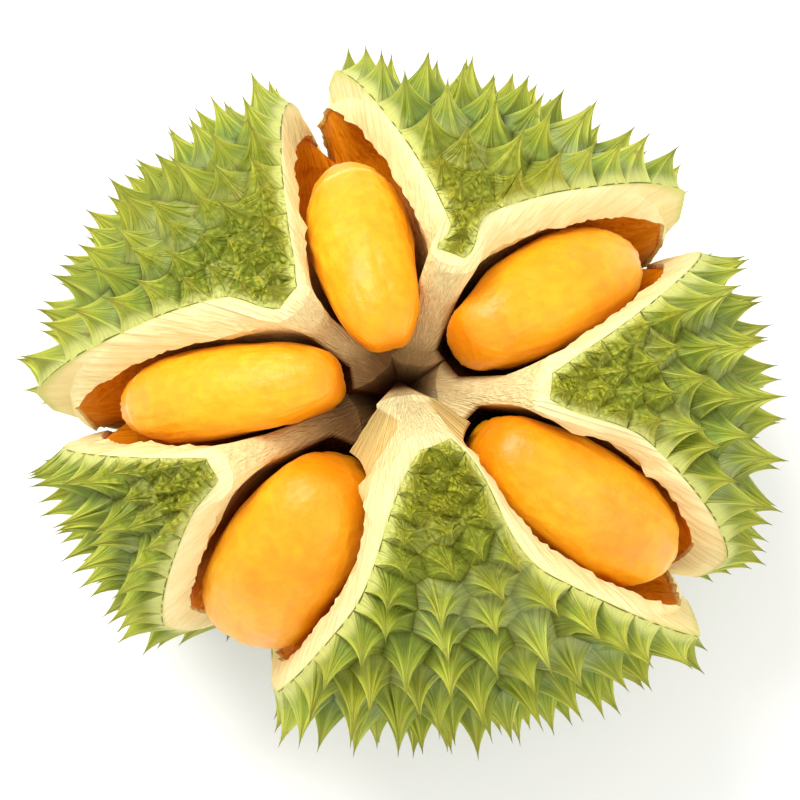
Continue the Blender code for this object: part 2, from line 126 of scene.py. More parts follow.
def rind_radius_height(angle):
    """Distance from the axis and height of the rind on the row at this angle."""
    end_radius = TOP_RADIUS if angle < math.pi / 2 else BOTTOM_RADIUS
    up = (abs(math.cos(angle)) / end_radius) ** BODY_POWER
    out = (math.sin(angle) / SIDE_RADIUS) ** BODY_POWER
    reach = (up + out) ** (-1 / BODY_POWER)
    return reach * math.sin(angle), CENTRE_HEIGHT + reach * math.cos(angle)


def rind_normal(angle):
    """Outward (radial, upward) direction of the rind."""
    r0, z0 = rind_radius_height(angle - NORMAL_STEP)
    r1, z1 = rind_radius_height(angle + NORMAL_STEP)
    length = math.hypot(r1 - r0, z1 - z0)
    return (z0 - z1) / length, (r1 - r0) / length


def core_height(angle):
    """Height on the axis where the row's line ends: the rows fan out from a long core."""
    share = (angle - CORE_TOP_ANGLE) / (math.pi - CORE_TOP_ANGLE)
    return CORE_TOP_HEIGHT + (CORE_BOTTOM_HEIGHT - CORE_TOP_HEIGHT) * share


def row_length(angle):
    """From the rind to the core along a row's line."""
    radius, height = rind_radius_height(angle)
    return math.hypot(radius, height - core_height(angle))


def radius_height(angle, depth):
    """Distance from the axis and height at a depth below the rind."""
    radius, height = rind_radius_height(angle)
    share = depth / row_length(angle)
    return radius * (1 - share), height + (core_height(angle) - height) * share


def place(radius, height, azimuth):
    """World position of a point of the fruit."""
    turn = math.cos(azimuth - math.radians(SWELL_AZIMUTH))
    rise = (height - CENTRE_HEIGHT) / TOP_RADIUS
    swell = 1 + SWELL * max(0.0, turn) ** SWELL_SHARPNESS * max(0.0, 1 - rise * rise)
    return Vector(
        (radius * swell * math.cos(azimuth), radius * swell * math.sin(azimuth) * FRONT_TO_BACK, height)
    )


print("rind at the girth: %.0f mm from the axis" % (rind_radius_height(math.pi / 2)[0] * 1000))

# %% [markdown]
# ## Locules and valves
# A locule is the chamber that holds a pod. A valve is the slice of husk between two locules. No two
# are alike in a grown thing, so each gets its own numbers, with angles in degrees and lengths in
# metres. A locule has its azimuth, its half width, the rind that covers it, the rows between which
# its pod lies, and the rows where its split is widest and where it closes. Each side of a split says
# how wide its pale rim is, and how far the green and the pale edge still stand off at the girth. A
# valve has its azimuth, how far its tip stays from the axis, its septum's thickness, the length of
# its thorns beside the usual, its random seed, and how far its septum's edge sags.

# %% Locules and valves
Side = namedtuple("Side", "pale_width green_at_girth pale_at_girth")
Locule = namedtuple(
    "Locule", "name azimuth half_width cover pod_start pod_end widest close low_side high_side"
)
Valve = namedtuple("Valve", "name azimuth tip_radius septum thorns seed sag")
LOCULES = (
    Locule("right", 33, 0.0180, 0.006, 21, 78, 36, 91,
           Side(0.0047, 0.007, 0.004), Side(0.0095, 0.004, -0.0015)),
    Locule("back", 104, 0.0170, 0.006, 9, 64, 30, 88,
           Side(0.0080, 0.004, -0.0015), Side(0.0036, 0.007, 0.005)),
    Locule("left", 184, 0.0160, 0.006, 17, 77, 36, 90,
           Side(0.0105, 0.004, -0.0015), Side(0.0055, 0.007, 0.004)),
    Locule("front_left", 238, 0.0210, 0.002, 31, 95, 48, 109,
           Side(0.0065, 0.012, 0.009), Side(0.0060, 0.012, 0.009)),
    Locule("front_right", 325, 0.0180, 0.003, 28, 86, 46, 98,
           Side(0.0075, 0.003, -0.0020), Side(0.0055, 0.005, 0.002)),
)
VALVES = (
    Valve("back_right", 68, 0.038, 0.0060, 0.95, 11, 4),
    Valve("back_left", 145, 0.038, 0.0042, 0.95, 23, 4),
    Valve("left", 209, 0.060, 0.0042, 1.12, 37, 3),
    Valve("front", 295, 0.025, 0.0045, 1.15, 41, -3),
    Valve("right", 353, 0.042, 0.0045, 1.00, 59, 3),
)
SPLIT_END_ANGLE = math.radians(126)
OPENING_LENGTH = math.radians(4)
GREEN_NARROWING = 1.25
PALE_NARROWING = 1.8
TIP_EDGE_WIDTH = 0.002
TIP_HALF_WIDTH = 0.003
PALE_EDGE_SHARE = 0.52
FLARE = 0.0105
FLARE_ANGLE = math.radians(82)
FLARE_SPREAD = math.radians(28)
FLARE_POINT = 1.5
FLARE_REACH = 0.022
JOIN_OVERLAP = 0.0003
SAG_SPAN = math.radians(44)
SAG_SHARE = 0.5
LOCULE_OUTER_DEPTH = 0.0165
OUTER_DEPTH_SHARE = 0.20
COVER_SHARE = 0.12
LEAST_DEPTH = 0.004
LEAST_DEPTH_SHARE = 0.1
LOCULE_INNER_SHARE = 0.60
SEEN_SHARE = 0.93
LOCULE_END_MARGIN = math.radians(6)
LOCULE_CLOSING = math.radians(34)
LOCULE_LEAD = math.radians(3)
LEAST_FULLNESS = 0.38
POD_PLUMPNESS = 2.8
WALL_START = math.radians(68)
MOST_SINE = 0.97
HALVINGS = 40
Section = namedtuple("Section", "half_width outer_depth inner_depth middle")


def share_of(part, whole):
    """The angle that a sideways distance takes up at a distance from the axis."""
    return math.asin(max(-MOST_SINE, min(MOST_SINE, part / max(whole, 1e-6))))


def full_section(angle, locule):
    """A locule's cross-section on a row, before it narrows towards its end."""
    length = row_length(angle)
    cover = min(locule.cover, COVER_SHARE * length)
    outer = min(LOCULE_OUTER_DEPTH, OUTER_DEPTH_SHARE * length)
    middle = cover + outer
    return Section(locule.half_width / SEEN_SHARE, outer, (length - middle) * LOCULE_INNER_SHARE, middle)


def pod_fullness(locule, angle):
    """How wide a pod is on a row beside its widest: its two ends are round."""
    start, end = math.radians(locule.pod_start), math.radians(locule.pod_end)
    along = abs(2 * angle - start - end) / (end - start)
    return math.sqrt(1 - min(1.0, along) ** POD_PLUMPNESS)


def locule_size(angle, locule):
    """A locule's cross-section on a row: it closes round the pod's two ends."""
    end = math.radians(locule.close) - LOCULE_END_MARGIN
    closing = 1 - (end - angle) / LOCULE_CLOSING
    fullness = math.sqrt(max(0.0, 1 - max(0.0, closing) ** 2))
    pod_middle = math.radians(locule.pod_start + locule.pod_end) / 2
    beside_pod = pod_fullness(locule, min(pod_middle, angle + LOCULE_LEAD))
    if angle < pod_middle:
        fullness = max(LEAST_FULLNESS, beside_pod)
    full = full_section(angle, locule)
    least = min(LEAST_DEPTH, LEAST_DEPTH_SHARE * row_length(angle))
    return Section(
        full.half_width * fullness, max(full.outer_depth * fullness, least),
        max(full.inner_depth * fullness, least), full.middle,
    )


def locule_section(size, turn):
    """Offset from the split's plane and depth of a point on a cross-section."""
    reach = size.outer_depth if math.cos(turn) > 0 else size.inner_depth
    return size.half_width * math.sin(turn), size.middle - reach * math.cos(turn)


def angle_at_radius(radius):
    """The row angle on the blossom half whose rind lies at this distance from the axis."""
    low, high = 0.0, math.pi / 2
    for _ in range(HALVINGS):
        middle = (low + high) / 2
        if rind_radius_height(middle)[0] < radius:
            low = middle
        else:
            high = middle
    return low


print(len(LOCULES), "locules and", len(VALVES), "valves")

# %% [markdown]
# ## One valve's outline
# The splits could be cut out of a whole husk with Booleans, but a torn rim needs points that follow
# it. So each valve is drawn row by row instead. On each row it runs from one split to the next. The
# split is wide along the pod, then narrows to a crack at the girth, and ends low on the fruit.

# %% The valve's shape
SOLID_ROWS = 17
FINE_ROWS = 129
STEM_CLEARANCE = 1.4
SMALL_FLARE = 0.3
WIDEST_KEEP = 0.45


class ValveShape:
    """One valve with its septum, cut into rows from the stem end to its tip."""

    def __init__(self, index, rows):
        self.valve = VALVES[index]
        self.azimuth = math.radians(self.valve.azimuth)
        self.low = LOCULES[index]
        self.high = LOCULES[(index + 1) % len(LOCULES)]
        self.tip_angle = angle_at_radius(self.valve.tip_radius)
        self.stem_angle = math.pi - math.asin(STALK_RADIUS * STEM_CLEARANCE / BOTTOM_RADIUS)
        span = self.tip_angle - self.stem_angle
        self.rows = [self.stem_angle + span * i / (rows - 1) for i in range(rows)]

    def gap_to(self, locule):
        """Azimuth from the locule's middle plane to this valve's septum."""
        turn = abs(self.azimuth - math.radians(locule.azimuth)) % (2 * math.pi)
        return min(turn, 2 * math.pi - turn)

    def sagged(self, angle, share):
        """The row angle of a point this far in along a row, let down where the septum's edge hangs."""
        fall = max(0.0, 1 - (angle - self.tip_angle) / SAG_SPAN)
        inward = eased(min(1.0, share / SAG_SHARE))
        return angle + math.radians(self.valve.sag) * inward * fall * fall

    def split_offset(self, angle, locule, at_tip, along_pod, at_girth, narrowing):
        """Distance of an edge from the split's middle plane on the row at this angle."""
        widest, close = math.radians(locule.widest), math.radians(locule.close)
        widest = max(widest, self.tip_angle + OPENING_LENGTH)
        opening = smooth_through(((self.tip_angle, at_tip), (widest, along_pod)), angle)
        closed = smooth_through(((close, at_girth), (SPLIT_END_ANGLE, 0.0)), angle)
        narrowed = held((angle - widest) / (close - widest)) ** narrowing
        return opening + (closed - opening) * narrowed - JOIN_OVERLAP

    def neighbours(self, side):
        """The locule on one side of the valve, and how its split is torn on this side."""
        if side > 0:
            return self.high, self.high.low_side
        return self.low, self.low.high_side

    def edges(self, angle, side):
        """Offsets of the green edge and the pale edge of the torn rim, and the pale edge's depth."""
        locule, torn = self.neighbours(side)
        tip_offset = self.valve.tip_radius * math.sin(self.gap_to(locule)) - TIP_HALF_WIDTH
        green = self.split_offset(
            angle, locule, tip_offset, locule.half_width + torn.pale_width, torn.green_at_girth,
            GREEN_NARROWING,
        )
        beside_pod = locule.half_width * max(LEAST_FULLNESS, pod_fullness(locule, self.tip_angle))
        pale = self.split_offset(
            angle, locule, min(tip_offset - TIP_EDGE_WIDTH, beside_pod), locule.half_width,
            torn.pale_at_girth, PALE_NARROWING,
        )
        depth = PALE_EDGE_SHARE * full_section(angle, locule).middle - self.flare(angle, torn)
        return green, pale, depth

    def flare(self, angle, torn):
        """How far the rim of a split curls out of the rind."""
        away = abs(angle - FLARE_ANGLE) / FLARE_SPREAD
        most = FLARE if torn.pale_at_girth < 0 else FLARE * SMALL_FLARE
        return most * max(0.0, 1 - away) ** FLARE_POINT

    def at(self, angle, side, offset, depth, keep):
        """The point this far from the split's plane and below the rind, clear of the septum by keep."""
        locule = self.neighbours(side)[0]
        radius, height = radius_height(angle, depth)
        limit = self.gap_to(locule) - share_of(min(keep, WIDEST_KEEP * radius), radius)
        turn = min(share_of(offset, radius), limit)
        return place(radius, height, self.azimuth + side * (self.gap_to(locule) - turn))


solid_shapes = [ValveShape(i, SOLID_ROWS) for i in range(len(VALVES))]
fine_shapes = [ValveShape(i, FINE_ROWS) for i in range(len(VALVES))]
print("rows on a valve:", FINE_ROWS)

# %% [markdown]
# ## Cells for the thorns
# The feet of durian thorns touch each other and leave no bare skin. Cones scattered on a surface
# would leave gaps and overlap, so the rind is shared out first. It is laid flat as a chart. Random
# seeds are spread on it, no two too near each other, and evened out. Each seed then owns the part of
# the chart that is nearest to it, and these cells fit together with no gaps.

# %% The rind as a flat chart
THORN_SPACING = 0.0125
TIP_SPACING = 0.0047
TIP_ZONE = 0.056
EDGE_ROOM = 0.3
NEAREST = 0.82
EVENING_PASSES = 3
CANDIDATES = 3000
EDGE_FADE = 0.003


class RindChart:
    """A valve's rind laid flat: x runs across it, y up from the stem end."""

    def __init__(self, shape):
        self.shape = shape
        self.heights = [0.0]
        for lower, upper in zip(shape.rows, shape.rows[1:]):
            r0, z0 = rind_radius_height(lower)
            r1, z1 = rind_radius_height(upper)
            self.heights.append(self.heights[-1] + math.hypot(r1 - r0, z1 - z0))
        self.top = self.heights[-1]
        self.edge = {side: [self.edge_x(angle, side) for angle in shape.rows] for side in (1, -1)}

    def edge_x(self, angle, side):
        """How far across the chart the green edge lies on the row at this angle."""
        green = self.shape.edges(angle, side)[0]
        point = self.shape.at(angle, side, green, 0.0, TIP_HALF_WIDTH)
        turn = math.atan2(point.y / FRONT_TO_BACK, point.x) - self.shape.azimuth
        turn = (turn + math.pi) % (2 * math.pi) - math.pi
        return turn * rind_radius_height(angle)[0]

    def step_at(self, values, at):
        i = min(max(bisect.bisect_right(values, at) - 1, 0), len(values) - 2)
        return i, (at - values[i]) / (values[i + 1] - values[i])

    def edge_at(self, y, side):
        i, share = self.step_at(self.heights, y)
        edge = self.edge[side]
        return edge[i] + (edge[i + 1] - edge[i]) * share

    def angle_at(self, y):
        i, share = self.step_at(self.heights, y)
        return self.shape.rows[i] + (self.shape.rows[i + 1] - self.shape.rows[i]) * share

    def height_at(self, angle):
        share = (angle - self.shape.rows[0]) / (self.shape.rows[-1] - self.shape.rows[0])
        place_in_list = held(share) * (len(self.heights) - 1)
        i = min(int(place_in_list), len(self.heights) - 2)
        return self.heights[i] + (self.heights[i + 1] - self.heights[i]) * (place_in_list - i)

    def outline(self):
        """The chart's corners, up one edge and down the other."""
        rising = list(zip(self.edge[1], self.heights))
        falling = list(zip(self.edge[-1], self.heights))
        return rising + falling[::-1]

    def tip_share(self, y):
        """0 on most of the rind, rising to 1 at the valve's tip."""
        return 1 - eased(min(1.0, (self.top - y) / TIP_ZONE))

    def edge_share(self, x, y):
        """1 on the torn edge, falling to 0 a little way in."""
        near = min(self.edge_at(y, 1) - x, x - self.edge_at(y, -1))
        return max(0.0, 1 - abs(near) / EDGE_FADE)

    def lift_at(self, x, y):
        """How far the rind curls out beside a split."""
        angle = self.angle_at(y)
        lift = 0.0
        for side in (1, -1):
            torn = self.shape.neighbours(side)[1]
            inward = abs(self.edge_at(y, side) - x) / FLARE_REACH
            lift = max(lift, self.shape.flare(angle, torn) * max(0.0, 1 - inward) ** 2)
        return lift

    def to_fruit(self, x, y):
        angle = self.angle_at(y)
        radius, height = radius_height(angle, -self.lift_at(x, y))
        return place(radius, height, self.shape.azimuth + x / rind_radius_height(angle)[0])


solid_charts = [RindChart(shape) for shape in solid_shapes]
fine_charts = [RindChart(shape) for shape in fine_shapes]
print("longest valve: %.0f mm along the rind" % (1000 * max(chart.top for chart in fine_charts)))


# %% Spread the seeds and share out the rind
def centroid(polygon):
    """The middle of a flat shape, as if it were cut from card."""
    pairs = list(zip(polygon, polygon[1:] + polygon[:1]))
    crosses = [a[0] * b[1] - b[0] * a[1] for a, b in pairs]
    total = sum(crosses)
    x = sum((a[0] + b[0]) * c for (a, b), c in zip(pairs, crosses)) / (3 * total)
    y = sum((a[1] + b[1]) * c for (a, b), c in zip(pairs, crosses)) / (3 * total)
    return x, y


def area(polygon):
    pairs = zip(polygon, polygon[1:] + polygon[:1])
    return abs(sum(a[0] * b[1] - b[0] * a[1] for a, b in pairs)) / 2


def between(start, end, share):
    return start[0] + (end[0] - start[0]) * share, start[1] + (end[1] - start[1]) * share


def cut(polygon, middle, away):
    """What is left of a polygon on the near side of the line through middle, square to away."""
    kept = []
    beyond = [(p[0] - middle[0]) * away[0] + (p[1] - middle[1]) * away[1] for p in polygon]
    for i, point in enumerate(polygon):
        following = (i + 1) % len(polygon)
        if beyond[i] <= 0:
            kept.append(point)
        if beyond[i] * beyond[following] < 0:
            share = beyond[i] / (beyond[i] - beyond[following])
            kept.append(between(point, polygon[following], share))
    return kept


def nearest_cells(points, outline):
    """For each point, the part of the outline that is nearer to it than to any other point."""
    cells = []
    for x, y in points:
        others = sorted((math.hypot(a - x, b - y), a, b) for a, b in points if (a, b) != (x, y))
        cell = outline
        for distance, a, b in others:
            if distance > 2 * max(math.hypot(p[0] - x, p[1] - y) for p in cell):
                break
            cell = cut(cell, ((x + a) / 2, (y + b) / 2), (a - x, b - y))
        cells.append(cell)
    return cells


def spread_seeds(chart):
    """Random places, none too near another, and closer together towards the valve's tip."""
    chance = random.Random(chart.shape.valve.seed)
    found = []
    for _ in range(CANDIDATES):
        x = chance.uniform(min(chart.edge[-1]), max(chart.edge[1]))
        y = chance.uniform(0, chart.top)
        room = THORN_SPACING + (TIP_SPACING - THORN_SPACING) * chart.tip_share(y)
        margin = EDGE_ROOM * room
        inside = chart.edge_at(y, -1) + margin < x < chart.edge_at(y, 1) - margin
        if inside and all(math.hypot(x - a, y - b) > NEAREST * room for a, b in found):
            found.append((x, y))
    for _ in range(EVENING_PASSES):
        found = [centroid(cell) for cell in nearest_cells(found, chart.outline())]
    return found


def fine_cells(coarse, fine):
    """Cells on the fine chart from seeds that were spread on the coarse one, as in the solid model."""
    seeds = [(x, fine.height_at(coarse.angle_at(y))) for x, y in spread_seeds(coarse)]
    return nearest_cells(seeds, fine.outline())


valve_cells = [fine_cells(coarse, fine) for coarse, fine in zip(solid_charts, fine_charts)]
print("thorns on the valves:", [len(cells) for cells in valve_cells])

# %% [markdown]
# ## From a cell to a thorn's numbers
# Geometry Nodes will raise each cell into a thorn. It needs to know, at every point of a cell, where
# the thorn's foot is, which way it rises, how it bends, and how far the point is from a corner of
# the cell. The corners become the thorn's ridges.

# %% Measure each thorn
THORN_LENGTH = 0.0145
THORN_SPREAD = (0.85, 1.1)
THORN_LEAN = 0.14
THORN_BEND = 0.13
STALK_CLEARING = 0.030
SIDE_STEP = 0.0017
CORNER_TURN = math.radians(14)
THORN_VALUES = ("foot", "rise", "bend")
RIND_VALUES = ("flank", "tip_zone", "edge", "tone")


def thorn_axis(chart, cell, chance):
    """Foot, rise and bend of the thorn on a cell: it stands on the rind and stays above the ground."""
    x, y = centroid(cell)
    angle = chart.angle_at(y)
    out, up = rind_normal(angle)
    azimuth = chart.shape.azimuth + x / rind_radius_height(angle)[0]
    most = THORN_LEAN * min(1.0, y / STALK_CLEARING)
    lean = Vector([chance.uniform(-most, most) for _ in range(3)])
    direction = Vector((out * math.cos(azimuth), out * math.sin(azimuth), up)) + lean
    direction.normalize()
    fullness = min(1.0, math.sqrt(area(cell)) / THORN_SPACING)
    length = THORN_LENGTH * chart.shape.valve.thorns * fullness * chance.uniform(*THORN_SPREAD)
    foot = chart.to_fruit(x, y)
    if direction.z < 0:
        length = min(length, foot.z / -direction.z)
    blossomward = Vector((-up * math.cos(azimuth), -up * math.sin(azimuth), out))
    return foot, direction * length, blossomward * length * THORN_BEND


def corner_flags(cell):
    """Which points of a cell are true corners, where its outline turns."""
    flags = []
    for i, (x, y) in enumerate(cell):
        before, after = cell[i - 1], cell[(i + 1) % len(cell)]
        first = math.atan2(y - before[1], x - before[0])
        second = math.atan2(after[1] - y, after[0] - x)
        turn = abs((second - first + math.pi) % (2 * math.pi) - math.pi)
        flags.append(turn > CORNER_TURN)
    return flags


print("corners of the first cell:", sum(corner_flags(valve_cells[0][0])))


# %% Walk round a cell
def walk_cell(cell):
    """The cell's outline in short steps, as (x, y, flank): flank is 0 at a corner and 1 midway."""
    flags = corner_flags(cell)
    if not any(flags):
        flags[0] = True
    first = flags.index(True)
    cell = cell[first:] + cell[:first]
    flags = flags[first:] + flags[:first] + [True]
    steps = []
    start = 0
    for end in range(1, len(flags)):
        if not flags[end]:
            continue
        stretch = [cell[i % len(cell)] for i in range(start, end + 1)]
        lengths = [math.dist(a, b) for a, b in zip(stretch, stretch[1:])]
        whole, passed = sum(lengths), 0.0
        for (a, b), length in zip(zip(stretch, stretch[1:]), lengths):
            parts = max(1, round(length / SIDE_STEP))
            for k in range(parts):
                along = (passed + length * k / parts) / whole
                steps.append((*between(a, b, k / parts), 4 * along * (1 - along)))
            passed += length
        start = end
    return steps


print("steps round the first cell:", len(walk_cell(valve_cells[0][0])))


# %% Put the numbers on a mesh
def new_mesh(name, points, faces, material=None):
    mesh = bpy.data.meshes.new(name)
    mesh.from_pydata(points, [], faces)
    if material:
        mesh.materials.append(material)
    return mesh


def put_values(mesh, values):
    """Stores values on a mesh's points under their names. Each value is a number or a vector."""
    for name, entries in values.items():
        if isinstance(entries[0], Vector):
            flat = [part for entry in entries for part in entry]
            mesh.attributes.new(name, "FLOAT_VECTOR", "POINT").data.foreach_set("vector", flat)
        else:
            mesh.attributes.new(name, "FLOAT", "POINT").data.foreach_set("value", entries)


def cell_mesh(chart, cells):
    """A mesh with one face for each cell, and the thorns' numbers on its points."""
    chance = random.Random(chart.shape.valve.seed + 1)
    tone_chance = random.Random(chart.shape.valve.seed + 2)
    points, faces, values = [], [], []
    for cell in cells:
        axis = thorn_axis(chart, cell, chance)
        tone = tone_chance.random()
        walk = walk_cell(cell)
        faces.append(list(range(len(points), len(points) + len(walk))))
        for x, y, flank in walk:
            points.append(chart.to_fruit(x, y))
            values.append((*axis, flank, chart.tip_share(y), chart.edge_share(x, y), tone))
    mesh = new_mesh("cells_" + chart.shape.valve.name, points, faces)
    put_values(mesh, dict(zip((*THORN_VALUES, *RIND_VALUES), zip(*values))))
    return mesh


cell_meshes = [cell_mesh(chart, cells) for chart, cells in zip(fine_charts, valve_cells)]
print("points on the cells:", sum(len(mesh.vertices) for mesh in cell_meshes))

# %% [markdown]
# ## Small helpers for node trees
# Both Geometry Nodes and shader trees are built from code here. These helpers add a node, feed its
# inputs by name or by place, and hand back an output, so that a tree reads like a formula.


# %% Node helpers
NODES_ACROSS = 12


def feed(tree, socket, source):
    """Links a socket to another node's output, or sets its value."""
    if isinstance(source, bpy.types.NodeSocket):
        tree.links.new(source, socket)
    elif source is not None:
        socket.default_value = source


def add_node(tree, kind, inputs=(), **settings):
    """Adds a node with these settings. Inputs go in by place, or by name from a dictionary."""
    node = tree.nodes.new(kind)
    column, line = len(tree.nodes) % NODES_ACROSS, len(tree.nodes) // NODES_ACROSS
    node.location = (180 * column, -260 * line)
    for name, value in settings.items():
        setattr(node, name, value)
    pairs = inputs.items() if isinstance(inputs, dict) else enumerate(inputs)
    for key, source in pairs:
        feed(tree, node.inputs[key], source)
    return node


def do_math(tree, operation, *values):
    return add_node(tree, "ShaderNodeMath", values, operation=operation).outputs[0]


def plus(tree, first, second):
    return do_math(tree, "ADD", first, second)


def times(tree, first, second):
    return do_math(tree, "MULTIPLY", first, second)


def do_vector(tree, operation, first, second=None):
    place_of_second = 3 if operation == "SCALE" else 1
    inputs = {0: first, place_of_second: second}
    return add_node(tree, "ShaderNodeVectorMath", inputs, operation=operation).outputs[0]


print("node helpers ready")

# %% [markdown]
# ## Grow the thorns with Geometry Nodes
# Hundreds of thorns follow one rule, which is what Geometry Nodes are good at: one tree shapes them
# all, and two inputs change how slender and how ridged they are. Each face is extruded several
# times. After every extrusion the new top is moved up the thorn's axis and drawn in, so that the
# thorn has a broad foot, hollow flanks and a slender point. The middle of each flank is drawn in
# more than the corners, which leaves ridges.

# %% The thorn tree
RING_HEIGHTS = (0.02, 0.11, 0.26, 0.40, 0.56, 0.72, 0.87, 1.0)
HOLLOW_RATE = 5
THORN_INPUTS = (
    ("Geometry", "Geometry"), ("Waist", "Float"), ("Flute", "Float"), ("Material", "Material"),
)
MERGE_DISTANCE = 0.00001


def named_value(tree, name, kind):
    inputs = {"Name": name}
    return add_node(tree, "GeometryNodeInputNamedAttribute", inputs, data_type=kind).outputs["Attribute"]


def ring_place(tree, height, waist, flute):
    """Where a point of the ring at this height goes, from its thorn's numbers."""
    names = (*THORN_VALUES, "strand")
    foot, rise, bend, root = (named_value(tree, name, "FLOAT_VECTOR") for name in names)
    flank = named_value(tree, "flank", "FLOAT")
    drawn_in = do_math(tree, "POWER", 1 - height, waist)
    hollow = times(tree, times(tree, flank, flute), min(1.0, HOLLOW_RATE * height))
    reach = times(tree, drawn_in, do_math(tree, "SUBTRACT", 1.0, hollow))
    spread = do_vector(tree, "SCALE", do_vector(tree, "SUBTRACT", root, foot), reach)
    climb = do_vector(tree, "SCALE", rise, height)
    curve = do_vector(tree, "SCALE", bend, 4 * height * (1 - height))
    outward = do_vector(tree, "ADD", foot, spread)
    return do_vector(tree, "ADD", outward, do_vector(tree, "ADD", climb, curve))


print("rings on a thorn:", len(RING_HEIGHTS))


# %% Build the tree
def store(tree, geometry, name, kind, value, selection):
    """Writes a value on the selected points under a name, for later nodes and for the material."""
    inputs = {"Geometry": geometry, "Name": name}
    settings = {"data_type": kind, "domain": "POINT"}
    node = add_node(tree, "GeometryNodeStoreNamedAttribute", inputs, **settings)
    feed(tree, node.inputs["Value"], value)
    feed(tree, node.inputs["Selection"], selection)
    return node.outputs[0]


def thorn_tree():
    """Raises every face of a mesh into a thorn."""
    tree = bpy.data.node_groups.new("grow_thorns", "GeometryNodeTree")
    for name, kind in THORN_INPUTS:
        tree.interface.new_socket(name, in_out="INPUT", socket_type="NodeSocket" + kind)
    tree.interface.new_socket("Geometry", in_out="OUTPUT", socket_type="NodeSocketGeometry")
    start = add_node(tree, "NodeGroupInput").outputs
    here = add_node(tree, "GeometryNodeInputPosition").outputs[0]
    geometry = store(tree, start["Geometry"], "strand", "FLOAT_VECTOR", here, None)
    top = None
    for height in RING_HEIGHTS:
        inputs = {"Mesh": geometry, "Offset Scale": 0.0}
        extrude = add_node(tree, "GeometryNodeExtrudeMesh", inputs, mode="FACES")
        feed(tree, extrude.inputs["Individual"], True)
        feed(tree, extrude.inputs["Selection"], top)
        top = extrude.outputs["Top"]
        placed = ring_place(tree, height, start["Waist"], start["Flute"])
        inputs = {"Geometry": extrude.outputs["Mesh"], "Selection": top, "Position": placed}
        geometry = add_node(tree, "GeometryNodeSetPosition", inputs).outputs[0]
        geometry = store(tree, geometry, "thorn_height", "FLOAT", height, top)
    inputs = {"Geometry": geometry, "Distance": MERGE_DISTANCE}
    merged = add_node(tree, "GeometryNodeMergeByDistance", inputs)
    realized = add_node(tree, "GeometryNodeRealizeInstances", [merged.outputs[0]])
    inputs = {"Geometry": realized.outputs[0], "Material": start["Material"]}
    finished = add_node(tree, "GeometryNodeSetMaterial", inputs)
    add_node(tree, "NodeGroupOutput", [finished.outputs[0]])
    return tree


grow_thorns = thorn_tree()
print("nodes in the thorn tree:", len(grow_thorns.nodes))

# %% [markdown]
# ## The torn pith
# Below the rind each valve is pale pith, and where it tore it is ragged and fibrous. Sculpting could
# do that once, but rows of points can be torn by noise and still fit the rind exactly. The skin is
# followed down from the green edge: over the torn rim, round a ragged lip, down the locule's wall,
# along the septum and in to the core. Each point remembers where it lies for the material to use.

# %% One side of the pith
RIM_STEPS = 7
WALL_STEPS = 18
RIM_CURVE = 1.7
RAGGED = 0.0022
WAVE_SIZE = 0.011
TOOTH_SIZE = 0.0035
FLAKE_SIZE = 0.0019
LIP_UNDERCUT = 0.0011
LIP_THICKNESS = 0.0013
RELIEF = 0.0005
RELIEF_END = 1.1
RIM_RUN = 0.012
RIM_GRAIN = 0.0030
WALL_GRAIN = 0.005
LIP_INNER = 0.5
LIP_INNER_RISE = 0.45
CORE_PAST_AXIS = 0.0015
CORE_HALF_WIDTH = 0.0005
PITH_VALUES = ("torn", "inner", "deep", "girth")
GIRTH_START = math.radians(46)
GIRTH_SPAN = math.radians(22)
LIP_FADE = math.radians(16)
LIP_FIRST = 2
LIP_LAST = 13
OPENED_SPAN = math.radians(20)
PLAIN = (0.0, 0.0, 0.0, 0.0)


def rough(x, y, z, size):
    """Soft noise between -1 and 1 whose lumps are about this size."""
    return noise.noise(Vector((x, y, z)) / size)


def ragged_edge(y, mark):
    """How far the lip reaches over the locule: long waves, short teeth and a few torn flakes."""
    waves = rough(y, mark, 0.0, WAVE_SIZE) * 0.5
    teeth = rough(y, mark, 0.3, TOOTH_SIZE) * 0.4
    flakes = max(0.0, rough(y, mark, 0.7, FLAKE_SIZE)) * 0.6
    return RAGGED * (waves + teeth + flakes)


def girth_share(angle):
    """0 near the tips, rising to 1 towards the girth."""
    return held((angle - GIRTH_START) / GIRTH_SPAN)


def rim_stations(shape, angle, y, side):
    """(row, offset, depth, values) over the torn rim, from beside the green edge to under the lip."""
    green, pale, pale_depth = shape.edges(angle, side)
    mark = shape.valve.seed + side * 0.1
    opened = held((SPLIT_END_ANGLE - angle) / OPENED_SPAN)
    girth = girth_share(angle)
    tooth = ragged_edge(y, mark) * opened
    found = []
    for step in range(1, RIM_STEPS + 1):
        t = step / RIM_STEPS
        fade = math.sin(math.pi * min(1.0, t * RELIEF_END))
        relief = RELIEF * opened * rough(y, t * RIM_RUN, mark, RIM_GRAIN) * fade
        offset, depth = green + (pale - tooth - green) * t, pale_depth * t ** RIM_CURVE - relief
        found.append((angle, offset, depth, (t, 0.0, 0.0, girth)))
    under = pale - tooth * 0.5 + LIP_UNDERCUT * opened
    inner = LIP_INNER + LIP_INNER_RISE * girth
    found.append((angle, under, pale_depth + LIP_THICKNESS, (1.0, inner, 0.0, girth)))
    return found


print("stations over the rim:", len(rim_stations(fine_shapes[0], math.pi / 2, 0.0, 1)))


